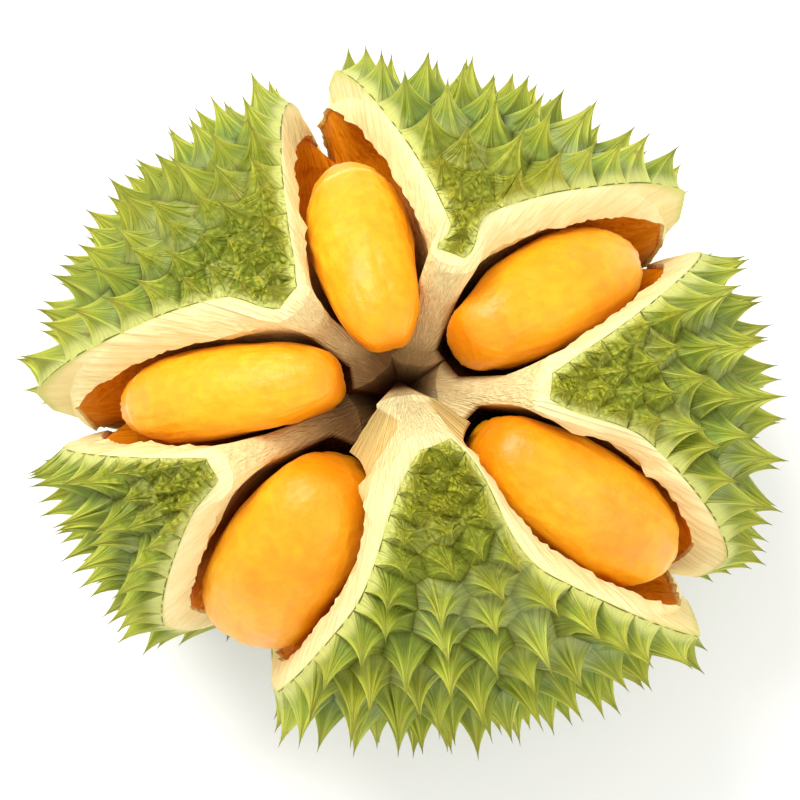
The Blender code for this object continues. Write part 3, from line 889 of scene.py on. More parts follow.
# %% Down the wall to the core
def wall_stations(shape, angle, y, side):
    """(row, offset, depth, values) down the locule's wall to the septum's inner end."""
    locule = shape.neighbours(side)[0]
    length = row_length(angle)
    found = []
    for step in range(WALL_STEPS + 1):
        turn = WALL_START + (math.pi - WALL_START) * step / WALL_STEPS
        depth = locule_section(locule_size(angle, locule), turn)[1]
        low = shape.sagged(angle, depth / length)
        offset, depth = locule_section(locule_size(low, locule), turn)
        relief = RELIEF * rough(y, depth, shape.valve.seed + side, WALL_GRAIN)
        values = (1.0, 1.0, min(1.0, depth / length), girth_share(angle))
        found.append((low, offset - JOIN_OVERLAP + relief, depth, values))
    return found


def fade_lip(chain, share):
    """Lets the lip sink away beside the tip: its points move onto one smooth line from rim to wall."""
    start, end = chain[LIP_FIRST][0], chain[LIP_LAST][0]
    for k in range(LIP_FIRST + 1, LIP_LAST):
        t = (k - LIP_FIRST) / (LIP_LAST - LIP_FIRST)
        point, values = chain[k]
        inner = values[1] * (1 - share)
        chain[k] = (point.lerp(start.lerp(end, t), share), values[:1] + (inner,) + values[2:])


def side_chain(shape, angle, y, side):
    """The points of one side of the pith on one row, each with its values."""
    stations = rim_stations(shape, angle, y, side) + wall_stations(shape, angle, y, side)
    chain = [
        (shape.at(row, side, offset, depth, shape.valve.septum), values)
        for row, offset, depth, values in stations
    ]
    fade_lip(chain, eased(max(0.0, 1 - (angle - shape.tip_angle) / LIP_FADE)))
    along = Vector((math.cos(shape.azimuth), math.sin(shape.azimuth), 0))
    across = Vector((-math.sin(shape.azimuth), math.cos(shape.azimuth), 0))
    end = across * side * CORE_HALF_WIDTH - along * CORE_PAST_AXIS
    core = core_height(shape.sagged(angle, 1.0))
    chain.append((Vector((end.x, end.y * FRONT_TO_BACK, core)), (1.0, 1.0, 1.0, 0.0)))
    return chain


print("points on each side of a row:", RIM_STEPS + WALL_STEPS + 3)

# %% [markdown]
# ## Close the pith's skin
# The two sides of a valve meet at its tip. There the septum's edge shows as a pale stem that runs
# from the green tip down to the core, so it gets a rounded, fibrous crest. The ends of the skin must
# be closed as well, or the valve would look like a paper shell from some sides.

# %% The pith's skin
CREST_STEPS = 10
CREST_RISE = 0.24
CREST_FIBRES = 0.0007
CREST_ROUNDNESS = 0.6
CREST_TORN = 0.6
FIBRE_SIZE = 0.0014
ROW_STEP = 0.0016
ON_LINE = 1e-9


class Skin:
    """Collects points with their values, and faces."""

    def __init__(self):
        self.points, self.values, self.faces = [], [], []

    def add(self, point, values):
        self.points.append(tuple(point))
        self.values.append(values)
        return len(self.points) - 1

    def strip(self, first, second):
        for a, b, c, d in zip(first, first[1:], second[1:], second):
            self.faces.append((a, b, c, d))

    def zip_lines(self, first, second):
        """Fills between two lines of (place, point) that need not have the same places."""
        i = j = 0
        while i < len(first) - 1 or j < len(second) - 1:
            step_first = j == len(second) - 1
            if i < len(first) - 1 and j < len(second) - 1:
                step_first = first[i + 1][0] <= second[j + 1][0]
            if step_first:
                self.faces.append((first[i][1], first[i + 1][1], second[j][1]))
                i += 1
            else:
                self.faces.append((first[i][1], second[j + 1][1], second[j][1]))
                j += 1


print("a new skin starts with", len(Skin().points), "points")


# %% Meet the rind's edge and the valve's ends
def rim_line(cells, wanted):
    """The points of the cells' outlines that are wanted, as (place, x, y), in order."""
    found = {}
    for cell in cells:
        for x, y, _ in walk_cell(cell):
            spot = wanted(x, y)
            if spot is not None:
                found[round(spot * 1e8)] = (spot, x, y)
    return [found[key] for key in sorted(found)]


def edge_columns(skin, chart, cells, side):
    """Places along one green edge, so that pith and rind share their points there."""
    line = rim_line(cells, lambda x, y: y if abs(x - chart.edge_at(y, side)) < ON_LINE else None)
    return [(spot, skin.add(chart.to_fruit(x, y), PLAIN)) for spot, x, y in line]


def crest_line(skin, low, high, outward, rise, number, seed):
    """Points from the low side to the high side across the septum's edge, raised in the middle."""
    start, end = Vector(skin.points[low]), Vector(skin.points[high])
    width = (end - start).length
    line = [low]
    for k in range(1, CREST_STEPS):
        t = k / CREST_STEPS
        fibres = CREST_FIBRES * rough(t * width, number * ROW_STEP, seed, FIBRE_SIZE)
        lift = (4 * t * (1 - t)) ** CREST_ROUNDNESS * (rise * width + fibres)
        values = (CREST_TORN, 0.0, skin.values[low][2], 0.0)
        line.append(skin.add(start.lerp(end, t) + outward * lift, values))
    return line + [high]


def close_end(skin, chart, cells, chains, row, rise):
    """Fills one end of the valve, from the rind's edge there to the core."""
    y_end = chart.heights[row]
    line = rim_line(cells, lambda x, y: x if abs(y - y_end) < ON_LINE else None)
    rind = [(spot, skin.add(chart.to_fruit(x, y), PLAIN)) for spot, x, y in line]
    low, high = chains[-1][row], chains[1][row]
    inward = chains[1][row - 1 if row else 1]
    outward = Vector(skin.points[high[2]]) - Vector(skin.points[inward[2]])
    outward.normalize()
    lines = [
        crest_line(skin, *ends, outward, rise, number, chart.shape.valve.seed)
        for number, ends in enumerate(zip(low, high))
    ]
    span = rind[-1][0] - rind[0][0]
    first = [(rind[0][0] + span * k / CREST_STEPS, mark) for k, mark in enumerate(lines[0])]
    skin.zip_lines(rind, first)
    for upper, lower in zip(lines, lines[1:]):
        skin.strip(upper, lower)
    skin.faces.append(tuple(lines[-1]))


print("steps across the crest:", CREST_STEPS)


# %% Build the pith
def pith_mesh(chart, cells):
    """The whole skin of one valve's pith, open only where the rind will close it."""
    skin = Skin()
    shape = chart.shape
    chains = {}
    for side in (1, -1):
        chains[side] = [
            [skin.add(point, values) for point, values in side_chain(shape, angle, y, side)]
            for angle, y in zip(shape.rows, chart.heights)
        ]
        first = [(y, chain[0]) for y, chain in zip(chart.heights, chains[side])]
        skin.zip_lines(edge_columns(skin, chart, cells, side), first)
        for lower, upper in zip(chains[side], chains[side][1:]):
            skin.strip(lower, upper)
    skin.strip([chain[-1] for chain in chains[1]], [chain[-1] for chain in chains[-1]])
    close_end(skin, chart, cells, chains, -1, CREST_RISE)
    close_end(skin, chart, cells, chains, 0, 0.0)
    mesh = new_mesh("pith_" + shape.valve.name, skin.points, skin.faces)
    put_values(mesh, dict(zip(PITH_VALUES, zip(*skin.values))))
    return mesh


pith_meshes = [pith_mesh(chart, cells) for chart, cells in zip(fine_charts, valve_cells)]
print("points on the pith:", sum(len(mesh.vertices) for mesh in pith_meshes))

# %% [markdown]
# ## Shared shader effects
# Nothing on a fruit has one even colour. Painted image textures could show that, but noise in the
# material has no seams and stays sharp close up. Two node groups serve every material. One mixes
# broad and fine noise into a mottle. The other turns a grain into a value that can colour a surface
# and feed a Bump node too.


# %% Shader helpers
def noise_value(tree, vector, scale, detail=4.0, roughness=0.55):
    inputs = {"Vector": vector, "Scale": scale, "Detail": detail, "Roughness": roughness}
    return add_node(tree, "ShaderNodeTexNoise", inputs).outputs[0]


def stored(tree, name, output="Fac"):
    """A value that the mesh carries on its points."""
    return add_node(tree, "ShaderNodeAttribute", attribute_name=name).outputs[output]


def object_spot(tree):
    return add_node(tree, "ShaderNodeTexCoord").outputs["Object"]


def remap(tree, value, low, high, to_low=0.0, to_high=1.0):
    inputs = [value, low, high, to_low, to_high]
    return add_node(tree, "ShaderNodeMapRange", inputs, interpolation_type="SMOOTHSTEP").outputs[0]


def blend_colors(tree, factor, first, second):
    node = add_node(tree, "ShaderNodeMix", data_type="RGBA")
    for key, source in ((0, factor), (6, first), (7, second)):
        if isinstance(source, tuple) and len(source) == 3:
            source = (*source, 1.0)
        feed(tree, node.inputs[key], source)
    return node.outputs[2]


def color_steps(tree, value, steps):
    """Colours along a value. The first two steps are its ends, and the others lie between."""
    node = add_node(tree, "ShaderNodeValToRGB", [value])
    elements = node.color_ramp.elements
    for spot, color in steps[2:]:
        elements.new(spot).color = (*color, 1.0)
    for element, (spot, color) in zip((elements[0], elements[-1]), (steps[0], steps[1])):
        element.position = spot
        element.color = (*color, 1.0)
    return node.outputs[0]


print("shader helpers ready")


# %% The two shared groups
def shader_group(name, numbers, build):
    """A node group with a Vector input, these number inputs and one output called Value."""
    tree = bpy.data.node_groups.new(name, "ShaderNodeTree")
    tree.interface.new_socket("Vector", in_out="INPUT", socket_type="NodeSocketVector")
    for number in numbers:
        tree.interface.new_socket(number, in_out="INPUT", socket_type="NodeSocketFloat")
    tree.interface.new_socket("Value", in_out="OUTPUT", socket_type="NodeSocketFloat")
    value = build(tree, add_node(tree, "NodeGroupInput").outputs)
    add_node(tree, "NodeGroupOutput", [value])
    return tree


def build_mottle(tree, given):
    broad = noise_value(tree, given["Vector"], given["Scale"], 3.0)
    fine = noise_value(tree, given["Vector"], times(tree, given["Scale"], 6.0), 5.0, 0.6)
    return plus(tree, times(tree, broad, 0.65), times(tree, fine, 0.35))


def build_grain(tree, given):
    lines = noise_value(tree, given["Vector"], given["Scale"], 2.0, 0.5)
    return times(tree, remap(tree, lines, 0.32, 0.68), given["Amount"])


mottle_group = shader_group("mottle", ["Scale"], build_mottle)
grain_group = shader_group("grain", ["Scale", "Amount"], build_grain)


def mottle(tree, vector, scale):
    node = add_node(tree, "ShaderNodeGroup", node_tree=mottle_group)
    feed(tree, node.inputs["Vector"], vector)
    feed(tree, node.inputs["Scale"], scale)
    return node.outputs["Value"]


def grain(tree, vector, scale):
    node = add_node(tree, "ShaderNodeGroup", node_tree=grain_group)
    for name, source in (("Vector", vector), ("Scale", scale), ("Amount", 1.0)):
        feed(tree, node.inputs[name], source)
    return node.outputs["Value"]


print("shared groups:", mottle_group.name, grain_group.name)


# %% Start and finish a material
def new_material(name):
    """A material with its node tree and its shader."""
    material = bpy.data.materials.new(name)
    material.use_nodes = True
    return material, material.node_tree, material.node_tree.nodes["Principled BSDF"]


def finish_material(tree, shader, color, roughness, height, distance, finish):
    """Links the colour, the roughness and the relief to the shader, and sets its plain inputs."""
    feed(tree, shader.inputs["Base Color"], color)
    feed(tree, shader.inputs["Roughness"], roughness)
    bump = add_node(tree, "ShaderNodeBump", {"Height": height, "Strength": 1.0, "Distance": distance})
    feed(tree, shader.inputs["Normal"], bump.outputs[0])
    for name, value in finish.items():
        shader.inputs[name].default_value = value


print("materials start from Blender", bpy.app.version_string)

# %% [markdown]
# ## The rind's colours
# The crease at a thorn's foot is painted dark olive, as painted shade. Above it a thorn is grey-green
# on its broad foot, yellow-green up its ridges, and brown at its very point. Colour by height above the
# ground would cut across the leaning thorns, so the tree stored how far up its own thorn each point is,
# and the material reads that. Fine lines run up the flanks, since their noise is read at the place
# where each line starts and stays the same all the way up.

# %% Rind material
# Painted shade in the crease at each thorn's foot; the same dark also colours the real streaks up the
# flanks.
CREASE_SHADE_AND_STREAKS = (0.050, 0.070, 0.006)
FOOT_GREEN = (0.220, 0.320, 0.045)
FLANK_GREEN = (0.370, 0.470, 0.040)
SPIKE_GREEN = (0.620, 0.660, 0.070)
TIP_BROWN = (0.480, 0.290, 0.100)
RIDGE_YELLOW = (0.760, 0.770, 0.120)
OLIVE = (0.460, 0.420, 0.020)
BLOOM = (0.530, 0.600, 0.250)
RIM_GREEN = (0.620, 0.640, 0.170)
# Lime on each bud's middle is partly its own colour and partly a painted highlight; the dark between
# buds is painted shade.
BUD_LIME_AND_HIGHLIGHT = (0.640, 0.640, 0.040)
BUD_GAP_SHADE = (0.160, 0.190, 0.012)
SCAR_BROWN = (0.200, 0.120, 0.030)
THORN_COLOURS = (
    (0.0, CREASE_SHADE_AND_STREAKS), (1.0, TIP_BROWN), (0.09, FOOT_GREEN), (0.18, FOOT_GREEN), (0.36, FLANK_GREEN),
    (0.66, SPIKE_GREEN), (0.90, SPIKE_GREEN),
)


def make_rind():
    material, tree, shader = new_material("durian_rind")
    spot, height, tone = object_spot(tree), stored(tree, "thorn_height"), stored(tree, "tone")
    tip_zone = stored(tree, "tip_zone")
    color = color_steps(tree, height, THORN_COLOURS)
    # Ridges are yellower than the hollows between them.
    ridge = do_math(tree, "POWER", do_math(tree, "SUBTRACT", 1.0, stored(tree, "flank")), 2.5)
    ridge = times(tree, ridge, remap(tree, height, 0.04, 0.35, 0.0, 0.75))
    color = blend_colors(tree, ridge, color, RIDGE_YELLOW)
    # Some thorns carry a pale bloom, and patches of the rind are more olive.
    bloom = remap(tree, height, 0.05, 0.4, 1.0, 0.2)
    bloom = times(tree, remap(tree, tone, 0.35, 1.0, 0.0, 0.6), bloom)
    color = blend_colors(tree, bloom, color, BLOOM)
    patches = mottle(tree, spot, 28.0)
    color = blend_colors(tree, remap(tree, patches, 0.40, 0.66, 0.0, 0.45), color, OLIVE)
    young = times(tree, tip_zone, remap(tree, patches, 0.30, 0.60, 0.25, 0.85))
    color = blend_colors(tree, young, color, OLIVE)
    color = blend_colors(tree, remap(tree, tone, 0.0, 0.4, 0.30, 0.0), color, FOOT_GREEN)
    # Towards a valve's tip the small thorns are beaded with lime buds. Each bud's middle is painted
    # light, partly its own lime and partly a painted highlight, and the gaps between buds get painted
    # shade.
    buds = add_node(tree, "ShaderNodeTexVoronoi", {"Vector": spot, "Scale": 460.0}).outputs["Distance"]
    buds = times(tree, tip_zone, remap(tree, buds, 0.1, 0.7, 1.0, 0.0))
    color = blend_colors(tree, times(tree, buds, 0.75), color, BUD_LIME_AND_HIGHLIGHT)
    gaps = times(tree, tip_zone, do_math(tree, "SUBTRACT", 1.0, buds))
    color = blend_colors(tree, times(tree, gaps, 0.45), color, BUD_GAP_SHADE)
    # Lines up the flanks, dead brown spots, and a paler torn edge. The pale tint reaching up the thorn
    # feet beside the split also paints light over their shade.
    lines = grain(tree, stored(tree, "strand", "Vector"), 900.0)
    color = blend_colors(tree, remap(tree, lines, 0.0, 1.0, 0.28, 0.0), color, CREASE_SHADE_AND_STREAKS)
    scars = remap(tree, noise_value(tree, spot, 160.0, 5.0, 0.7), 0.62, 0.70)
    color = blend_colors(tree, times(tree, scars, 0.55), color, SCAR_BROWN)
    torn = times(tree, stored(tree, "edge"), remap(tree, height, 0.06, 0.32, 0.90, 0.0))
    color = blend_colors(tree, torn, color, RIM_GREEN)
    roughness = remap(tree, patches, 0.3, 0.7, 0.42, 0.60)
    relief = plus(tree, plus(tree, times(tree, lines, 0.6), patches), times(tree, buds, 2.0))
    finish_material(tree, shader, color, roughness, relief, 0.0005, {"Specular IOR Level": 0.30})
    return material


rind_material = make_rind()
print(rind_material.name, "has", len(rind_material.node_tree.nodes), "nodes")

# %% [markdown]
# ## The pith's colours
# The pith is greenish beside the rind and cream over the rim. Inside the lip the locule is lined with
# an orange-brown skin. Deeper in, painted shade turns everything amber and then brown towards the
# core, whose hollow lies in shade. One material can show it all, because the mesh says where each
# point lies. The fibres are noise that is stretched along the pith.

# %% Pith material
CREAM = (0.930, 0.810, 0.430)
TAN = (0.780, 0.585, 0.215)
LINING = (0.720, 0.240, 0.004)
# Painted shade: amber deeper in, then dark brown towards the core's hollow.
CORE_SHADE_BROWN = (0.120, 0.036, 0.006)
DEEP_AMBER_SHADE = (0.760, 0.430, 0.130)


def fibre_run(tree, spot):
    """Where the grain is read: stretched towards the core and down it, so that it becomes fibres."""
    level = do_vector(tree, "MULTIPLY", spot, (1.0, 1.0, 0.0))
    around = do_vector(tree, "SCALE", do_vector(tree, "NORMALIZE", level), 0.05)
    out = add_node(tree, "ShaderNodeVectorMath", [level], operation="LENGTH").outputs["Value"]
    height = add_node(tree, "ShaderNodeSeparateXYZ", [spot]).outputs["Z"]
    run = plus(tree, times(tree, out, 0.12), times(tree, height, 0.30))
    down = add_node(tree, "ShaderNodeCombineXYZ", {"Z": run}).outputs[0]
    return do_vector(tree, "ADD", around, down)


def make_pith():
    material, tree, shader = new_material("durian_pith")
    spot = object_spot(tree)
    torn, inner, deep, girth = (stored(tree, name) for name in PITH_VALUES)
    patches = mottle(tree, spot, 45.0)
    fibres = grain(tree, fibre_run(tree, spot), 900.0)
    color = blend_colors(tree, remap(tree, patches, 0.42, 0.68, 0.0, 0.40), CREAM, TAN)
    color = blend_colors(tree, remap(tree, fibres, 0.0, 1.0, 0.22, 0.0), color, TAN)
    color = blend_colors(tree, remap(tree, torn, 0.0, 0.07, 0.8, 0.0), color, RIM_GREEN)
    # Painted shade: the pith turns amber deeper in.
    color = blend_colors(tree, remap(tree, deep, 0.40, 0.85, 0.0, 0.65), color, DEEP_AMBER_SHADE)
    lining = blend_colors(tree, girth, TAN, LINING)
    color = blend_colors(tree, remap(tree, inner, 0.3, 0.9), color, lining)
    # Painted shade: deeper in, the lining darkens first, and then the whole core.
    core_shade = times(tree, inner, remap(tree, deep, 0.30, 0.62))
    core_shade = do_math(tree, "MAXIMUM", core_shade, remap(tree, deep, 0.58, 0.88))
    color = blend_colors(tree, core_shade, color, CORE_SHADE_BROWN)
    roughness = remap(tree, inner, 0.2, 0.9, 0.72, 0.45)
    relief = plus(tree, fibres, patches)
    finish_material(tree, shader, color, roughness, relief, 0.0004, {"Specular IOR Level": 0.20})
    return material


pith_material = make_pith()
print(pith_material.name, "has", len(pith_material.node_tree.nodes), "nodes")

# %% [markdown]
# ## Join thorns and pith into valves
# On the fruit, rind and pith are one. The thorn tree is put on each sheet of cells as a modifier, its
# inputs are set, and the result is made a plain mesh. Rind and pith could simply overlap, but a weld
# leaves no gap: they share their points along the green edge, and joining those closes the valve.

# %% Build the valves
WAIST = 1.75
FLUTE = 0.34
WELD = 0.00001
RIDGE_ANGLE = math.radians(30)


def linked_object(name, data):
    made = bpy.data.objects.new(name, data)
    bpy.context.scene.collection.objects.link(made)
    return made


def grown(mesh, tree, settings):
    """A plain mesh of what a Geometry Nodes tree makes of a mesh."""
    holder = linked_object(mesh.name + "_grower", mesh)
    modifier = holder.modifiers.new("grow", "NODES")
    modifier.node_group = tree
    for item in tree.interface.items_tree:
        if item.in_out == "INPUT" and item.name in settings:
            modifier[item.identifier] = settings[item.name]
    graph = bpy.context.evaluated_depsgraph_get()
    made = bpy.data.meshes.new_from_object(holder.evaluated_get(graph), depsgraph=graph)
    holder.modifiers.remove(modifier)
    bpy.data.objects.remove(holder)
    return made


def welded(name, rind_mesh, pith):
    """Joins the two meshes into one closed object."""
    pith.materials.append(pith_material)
    first, second = linked_object(name, rind_mesh), linked_object(name + "_pith", pith)
    with bpy.context.temp_override(
        active_object=first, object=first, selected_objects=[first, second],
        selected_editable_objects=[first, second],
    ):
        bpy.ops.object.join()
    body = bmesh.new()
    body.from_mesh(first.data)
    bmesh.ops.remove_doubles(body, verts=body.verts, dist=WELD)
    bmesh.ops.recalc_face_normals(body, faces=body.faces)
    open_edges = sum(len(edge.link_faces) != 2 for edge in body.edges)
    for face in body.faces:
        face.smooth = True
    for edge in body.edges:
        kinds = {face.material_index for face in edge.link_faces}
        edge.smooth = len(kinds) == 1 and edge.calc_face_angle(math.pi) < RIDGE_ANGLE
    body.to_mesh(first.data)
    body.free()
    print(name, len(first.data.polygons), "faces,", open_edges, "open edges")
    return first


thorn_settings = {"Waist": WAIST, "Flute": FLUTE, "Material": rind_material}
valves = [
    welded("valve_" + valve.name, grown(cells, grow_thorns, thorn_settings), pith)
    for valve, cells, pith in zip(VALVES, cell_meshes, pith_meshes)
]

# %% [markdown]
# ## The pods of flesh
# A pod is a plump bent bean that follows the rind. A stretched sphere would cut into the locule's
# walls, so the pod is built from rings that follow the locule and give way softly to the septa. Its
# skin has soft lumps, fine wrinkles along its length, and near its outer end a few folds where one
# layer of skin ends on the next.

# %% Build the pods
POD_CLEARANCE = 0.0011
POD_OVERHANG = math.radians(5)
SOFTNESS = 6
POD_ROWS = 90
POD_SIDES = 72
LUMPS = 0.0008
WRINKLES = 0.0006
LUMP_SIZE = 0.016
WRINKLE_SIZE = 0.0028
WRINKLE_ROUND = 0.030
WRINKLE_RUN = 0.012
FOLD_DROP = 0.00036
FOLD_PLACES = (0.52, 0.70, 0.86)
FOLD_WAVE = 0.05
FOLD_WAVE_SIZE = 0.9
FOLD_SLOPE = 0.024
FOLD_HIGHLIGHT_WIDTH = 0.018
SMOOTHINGS = 45
SEPTUM_START = 0.4
WIDEST_POD_KEEP = 0.9


def pod_ring(locule, index, angle, fullness):
    """One cross-section of a pod, kept clear of the locule's wall and of the septa beside it."""
    full = full_section(angle, locule)
    size = Section(*[(part - POD_CLEARANCE) * fullness for part in full[:3]], full.middle)
    ring = []
    for k in range(POD_SIDES):
        turn = 2 * math.pi * k / POD_SIDES
        offset, depth = locule_section(size, turn)
        radius, height = radius_height(angle, depth)
        side = 1 if math.sin(turn) >= 0 else -1
        shape = solid_shapes[index if side > 0 else index - 1]
        beside_septum = held((angle - shape.tip_angle) / POD_OVERHANG + SEPTUM_START)
        keep = shape.valve.septum * beside_septum + POD_CLEARANCE
        limit = shape.gap_to(locule) - share_of(min(keep, WIDEST_POD_KEEP * radius), radius)
        swing = share_of(abs(offset), radius)
        swing /= (1 + (swing / limit) ** SOFTNESS) ** (1 / SOFTNESS)
        ring.append(place(radius, height, math.radians(locule.azimuth) + side * swing))
    return ring


first_ring = pod_ring(LOCULES[0], 0, math.radians(LOCULES[0].widest), 1.0)
print("widest ring of the first pod: %.0f mm across" % (
    1000 * max((a - b).length for a in first_ring for b in first_ring)))


# %% Folds and wrinkles
def fold_depth(along, turn, seed):
    """How many folds the skin has dropped past, and how much painted highlight lies along a fold's edge
    here.
    """
    drop, fold_highlight = 0.0, 0.0
    for k, at in enumerate(FOLD_PLACES):
        wave = rough(math.cos(turn), math.sin(turn), seed + k, FOLD_WAVE_SIZE)
        past = along - at - FOLD_WAVE * wave
        drop += held(past / FOLD_SLOPE)
        fold_highlight += math.exp(-((past / FOLD_HIGHLIGHT_WIDTH) ** 2))
    return drop, fold_highlight


def pod_relief(point, along, turn, seed):
    """Soft lumps, and wrinkles that run along the pod and fade at its ends."""
    lumps = LUMPS * rough(point.x, point.y, point.z + seed, LUMP_SIZE)
    x, y = math.cos(turn) * WRINKLE_ROUND, math.sin(turn) * WRINKLE_ROUND
    wrinkles = WRINKLES * rough(x, y, along * WRINKLE_RUN + seed, WRINKLE_SIZE)
    return lumps + wrinkles * (1 - along ** 4) - LUMPS * 0.6


print("folds on a pod:", len(FOLD_PLACES))


# %% Make a pod
def tube_faces(rings, sides):
    """Four-sided faces between one ring of points and the next."""
    found = []
    for first in range(0, (rings - 1) * sides, sides):
        for k in range(sides):
            a, b = first + k, first + (k + 1) % sides
            found.append((a, b, b + sides, a + sides))
    return found


def pole_faces(pole, first, sides, order=1):
    """Three-sided faces from a middle point to the ring that starts at first."""
    return [(pole, first + k, first + (k + 1) % sides)[::order] for k in range(sides)]


def smoothed(mesh):
    """Turns the mesh's faces outwards and evens out its points."""
    body = bmesh.new()
    body.from_mesh(mesh)
    bmesh.ops.recalc_face_normals(body, faces=body.faces)
    for _ in range(SMOOTHINGS):
        bmesh.ops.smooth_vert(
            body, verts=body.verts, factor=0.5, use_axis_x=True, use_axis_y=True, use_axis_z=True
        )
    body.to_mesh(mesh)
    body.free()


def make_pod(index, material):
    """A pod from rings that crowd together at its two ends, where it curves most."""
    locule = LOCULES[index]
    start, end = math.radians(locule.pod_start), math.radians(locule.pod_end)
    points, along_values, turns = [], [], []
    for i in range(1, POD_ROWS):
        along = -math.cos(math.pi * i / POD_ROWS)
        angle = (start + end) / 2 + (end - start) / 2 * along
        points += pod_ring(locule, index, angle, pod_fullness(locule, angle))
        along_values += [along] * POD_SIDES
        turns += [2 * math.pi * k / POD_SIDES for k in range(POD_SIDES)]
    faces = tube_faces(POD_ROWS - 1, POD_SIDES)
    for angle, first, along in ((start, 0, -1.0), (end, (POD_ROWS - 2) * POD_SIDES, 1.0)):
        radius, height = radius_height(angle, full_section(angle, locule).middle)
        points.append(place(radius, height, math.radians(locule.azimuth)))
        along_values.append(along)
        turns.append(0.0)
        faces += pole_faces(len(points) - 1, first, POD_SIDES)
    mesh = new_mesh("flesh_" + locule.name, points, faces, material)
    smoothed(mesh)
    normals = [value.vector.copy() for value in mesh.vertex_normals]
    fold_highlights = []
    for vertex, normal, along, turn in zip(mesh.vertices, normals, along_values, turns):
        drop, fold_highlight = fold_depth(along, turn, locule.azimuth)
        relief = pod_relief(vertex.co, along, turn, locule.azimuth)
        vertex.co += normal * (relief - FOLD_DROP * drop)
        fold_highlights.append(fold_highlight)
    put_values(mesh, {"fold_highlight": fold_highlights, "along": along_values})
    mesh.shade_smooth()
    return linked_object("pod_" + locule.name, mesh)


print("points on a pod:", (POD_ROWS - 1) * POD_SIDES + 2)

# %% [markdown]
# ## The flesh's colours
# Ripe durian flesh is deep orange with paler yellow clouds, a soft moist sheen, and a little light
# that passes through it. A plain orange would look like plastic, so subsurface light softens it. A
# painted highlight along each fold's edge and painted shade at the pod's two ends come from values on
# the mesh.

# %% Flesh material
DEEP_ORANGE = (0.880, 0.270, 0.002)
ORANGE = (0.960, 0.410, 0.004)
YELLOW = (0.980, 0.550, 0.020)
FOLD_HIGHLIGHT_PALE = (1.000, 0.800, 0.330)
MOIST_SHEEN = {
    "Subsurface Weight": 0.25, "Subsurface Radius": (1.0, 0.35, 0.08), "Subsurface Scale": 0.003,
    "Specular IOR Level": 0.35, "Coat Weight": 0.10, "Coat Roughness": 0.30,
}


def make_flesh():
    material, tree, shader = new_material("durian_flesh")
    spot = object_spot(tree)
    clouds = mottle(tree, spot, 26.0)
    color = color_steps(tree, clouds, ((0.30, DEEP_ORANGE), (0.74, YELLOW), (0.50, ORANGE)))
    # Painted shade: the pod's two ends are darker orange, where they curve down into the locule.
    ends = do_math(tree, "POWER", do_math(tree, "ABSOLUTE", stored(tree, "along")), 6.0)
    color = blend_colors(tree, times(tree, ends, 0.8), color, DEEP_ORANGE)
    # Painted highlight: a pale line along each fold's edge.
    color = blend_colors(tree, times(tree, stored(tree, "fold_highlight"), 0.60), color, FOLD_HIGHLIGHT_PALE)
    veins = grain(tree, spot, 260.0)
    color = blend_colors(tree, remap(tree, veins, 0.0, 1.0, 0.26, 0.0), color, DEEP_ORANGE)
    roughness = remap(tree, clouds, 0.3, 0.7, 0.38, 0.52)
    relief = plus(tree, clouds, times(tree, veins, 0.35))
    finish_material(tree, shader, color, roughness, relief, 0.0004, MOIST_SHEEN)
    return material


flesh_material = make_flesh()
pods = [make_pod(index, flesh_material) for index in range(len(LOCULES))]
print("pods:", [pod.name for pod in pods])

# %% [markdown]
# ## The trimmed stalk
# The fruit stands on the cut face of its stalk, a short woody stub with a rough bark side and growth
# rings on the cut. A plain cylinder would do from afar, but rings of points let the bark be rough
# while the cut stays flat.

# %% Build the stalk
STALK_TURNS = 96
STALK_RINGS = 14
STALK_SIDE_STEPS = 8
BARK = (0.160, 0.100, 0.050)
WOOD = (0.520, 0.380, 0.200)
BARK_RELIEF = 0.0004
BARK_RUN = 40
BARK_GRAIN = 0.12
CHAMFER = 0.0006


def stalk_profile(low, high, radius):
    """(radius, height) from the middle of the cut, out and up its side, and in to the top's middle."""
    cut_face = [(radius * k / STALK_RINGS, low) for k in range(1, STALK_RINGS)]
    rise = (high - low - 2 * CHAMFER) / STALK_SIDE_STEPS
    side = [(radius, low + CHAMFER + rise * k) for k in range(STALK_SIDE_STEPS + 1)]
    return cut_face + side + [(r, high) for r, _ in reversed(cut_face)]


def make_stalk(material):
    low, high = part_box("stalk")
    radius = (high.x - low.x) / 2 - BARK_RELIEF
    profile = stalk_profile(low.z, high.z, radius)
    points = []
    for r, z in profile:
        for k in range(STALK_TURNS):
            turn = 2 * math.pi * k / STALK_TURNS
            groove = rough(math.cos(turn), math.sin(turn), z * BARK_RUN, BARK_GRAIN)
            bark = BARK_RELIEF * groove * (r / radius) ** 4
            points.append(((r + bark) * math.cos(turn), (r + bark) * math.sin(turn), z))
    faces = tube_faces(len(profile), STALK_TURNS)
    for z, first, order in ((low.z, 0, -1), (high.z, (len(profile) - 1) * STALK_TURNS, 1)):
        points.append((0.0, 0.0, z))
        faces += pole_faces(len(points) - 1, first, STALK_TURNS, order)
    mesh = new_mesh("stalk_stub", points, faces, material)
    mesh.shade_smooth()
    mesh.set_sharp_from_angle(angle=RIDGE_ANGLE)
    return linked_object("stalk_stub", mesh)


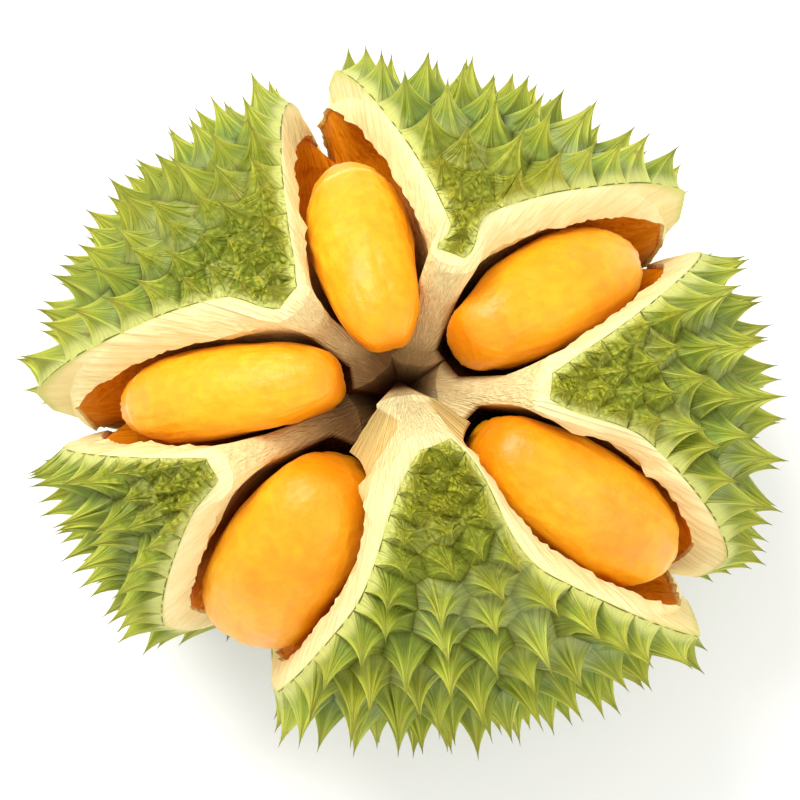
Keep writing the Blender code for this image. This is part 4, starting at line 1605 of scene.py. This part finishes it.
def make_stalk_material():
    material, tree, shader = new_material("durian_stalk")
    spot = object_spot(tree)
    level = do_vector(tree, "MULTIPLY", spot, (1.0, 1.0, 0.0))
    out = add_node(tree, "ShaderNodeVectorMath", [level], operation="LENGTH").outputs["Value"]
    patches = mottle(tree, spot, 160.0)
    wobbled = plus(tree, out, times(tree, patches, 0.0020))
    rings = do_math(tree, "SINE", times(tree, wobbled, 5200.0))
    wood = blend_colors(tree, remap(tree, rings, -1.0, 1.0, 0.0, 0.5), WOOD, BARK)
    color = blend_colors(tree, remap(tree, out, 0.0100, 0.0110), wood, BARK)
    color = blend_colors(tree, remap(tree, patches, 0.45, 0.75, 0.0, 0.6), color, WOOD)
    roughness = remap(tree, patches, 0.3, 0.7, 0.70, 0.92)
    relief = plus(tree, patches, times(tree, rings, 0.1))
    finish_material(tree, shader, color, roughness, relief, 0.0006, {})
    return material


stalk = make_stalk(make_stalk_material())
print("stalk points:", len(stalk.data.vertices))

# %% [markdown]
# ## Tie the pieces to the solid model
# Each piece takes the place of the solid node that it dresses.

# %% Tie the pieces
for valve in valves:
    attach(valve, "root")
    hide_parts("husk")
for pod, locule in zip(pods, LOCULES):
    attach(pod, "root")
    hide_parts("flesh_pod_" + locule.name)
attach(stalk, "root")
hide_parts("stalk")
print("pieces:", len(valves) + len(pods) + 1)

# %% [markdown]
# ## Floor, light and camera
# A near-white floor and large soft lights keep the shadows faint, so that the fruit's own colours
# show. A long lens stands far off, which keeps the thorns at the sides from looking stretched. It
# looks steeply down on the open end of the fruit.

# %% Floor and light
FLOOR_SIZE = 6.0
FLOOR_TONES = ((0.95, 0.95, 0.95), (0.97, 0.97, 0.97))
VIEW_ELEVATION = math.radians(84)
VIEW_TARGET = Vector((0.0, 0.0, 0.098))
VIEW_WIDTH = 0.250
LENS = 100
SENSOR = 36


def make_floor(level):
    material, tree, shader = new_material("pale_floor")
    tone = noise_value(tree, object_spot(tree), 3.0)
    feed(tree, shader.inputs["Base Color"], blend_colors(tree, tone, *FLOOR_TONES))
    shader.inputs["Roughness"].default_value = 0.9
    half = FLOOR_SIZE / 2
    corners = [(x * half, y * half, level) for x, y in ((-1, -1), (1, -1), (1, 1), (-1, 1))]
    return linked_object("floor", new_mesh("floor", corners, [(0, 1, 2, 3)], material))


def make_light(name, spot, size, watts, color):
    data = bpy.data.lights.new(name, "AREA")
    data.shape = "DISK"
    data.size = size
    data.energy = watts
    data.color = color
    light = linked_object(name, data)
    light.location = spot
    light.rotation_euler = (VIEW_TARGET - Vector(spot)).to_track_quat("-Z", "Y").to_euler()
    return light


def make_world(strength):
    world = bpy.data.worlds.new("soft_room")
    world.use_nodes = True
    back = world.node_tree.nodes["Background"]
    back.inputs["Color"].default_value = (1.0, 0.99, 0.97, 1.0)
    back.inputs["Strength"].default_value = strength
    bpy.context.scene.world = world


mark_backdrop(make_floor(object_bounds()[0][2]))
make_light("key", (-0.45, 0.60, 1.30), 0.6, 15.0, (1.0, 0.98, 0.93))
make_light("fill", (0.9, -0.6, 0.9), 1.2, 5.0, (1.0, 1.0, 1.0))
make_world(0.92)
print("lights:", [light.name for light in bpy.data.lights])

# %% Camera
camera_data = bpy.data.cameras.new("camera")
camera_data.lens = LENS
camera_data.sensor_width = SENSOR
camera = linked_object("camera", camera_data)
distance = VIEW_WIDTH * LENS / SENSOR
away = Vector((0.0, -math.cos(VIEW_ELEVATION), math.sin(VIEW_ELEVATION)))
camera.location = VIEW_TARGET + away * distance
camera.rotation_euler = away.to_track_quat("Z", "Y").to_euler()
bpy.context.scene.camera = camera
bpy.context.scene.view_settings.view_transform = "Standard"
print("camera %.2f m from the fruit" % distance)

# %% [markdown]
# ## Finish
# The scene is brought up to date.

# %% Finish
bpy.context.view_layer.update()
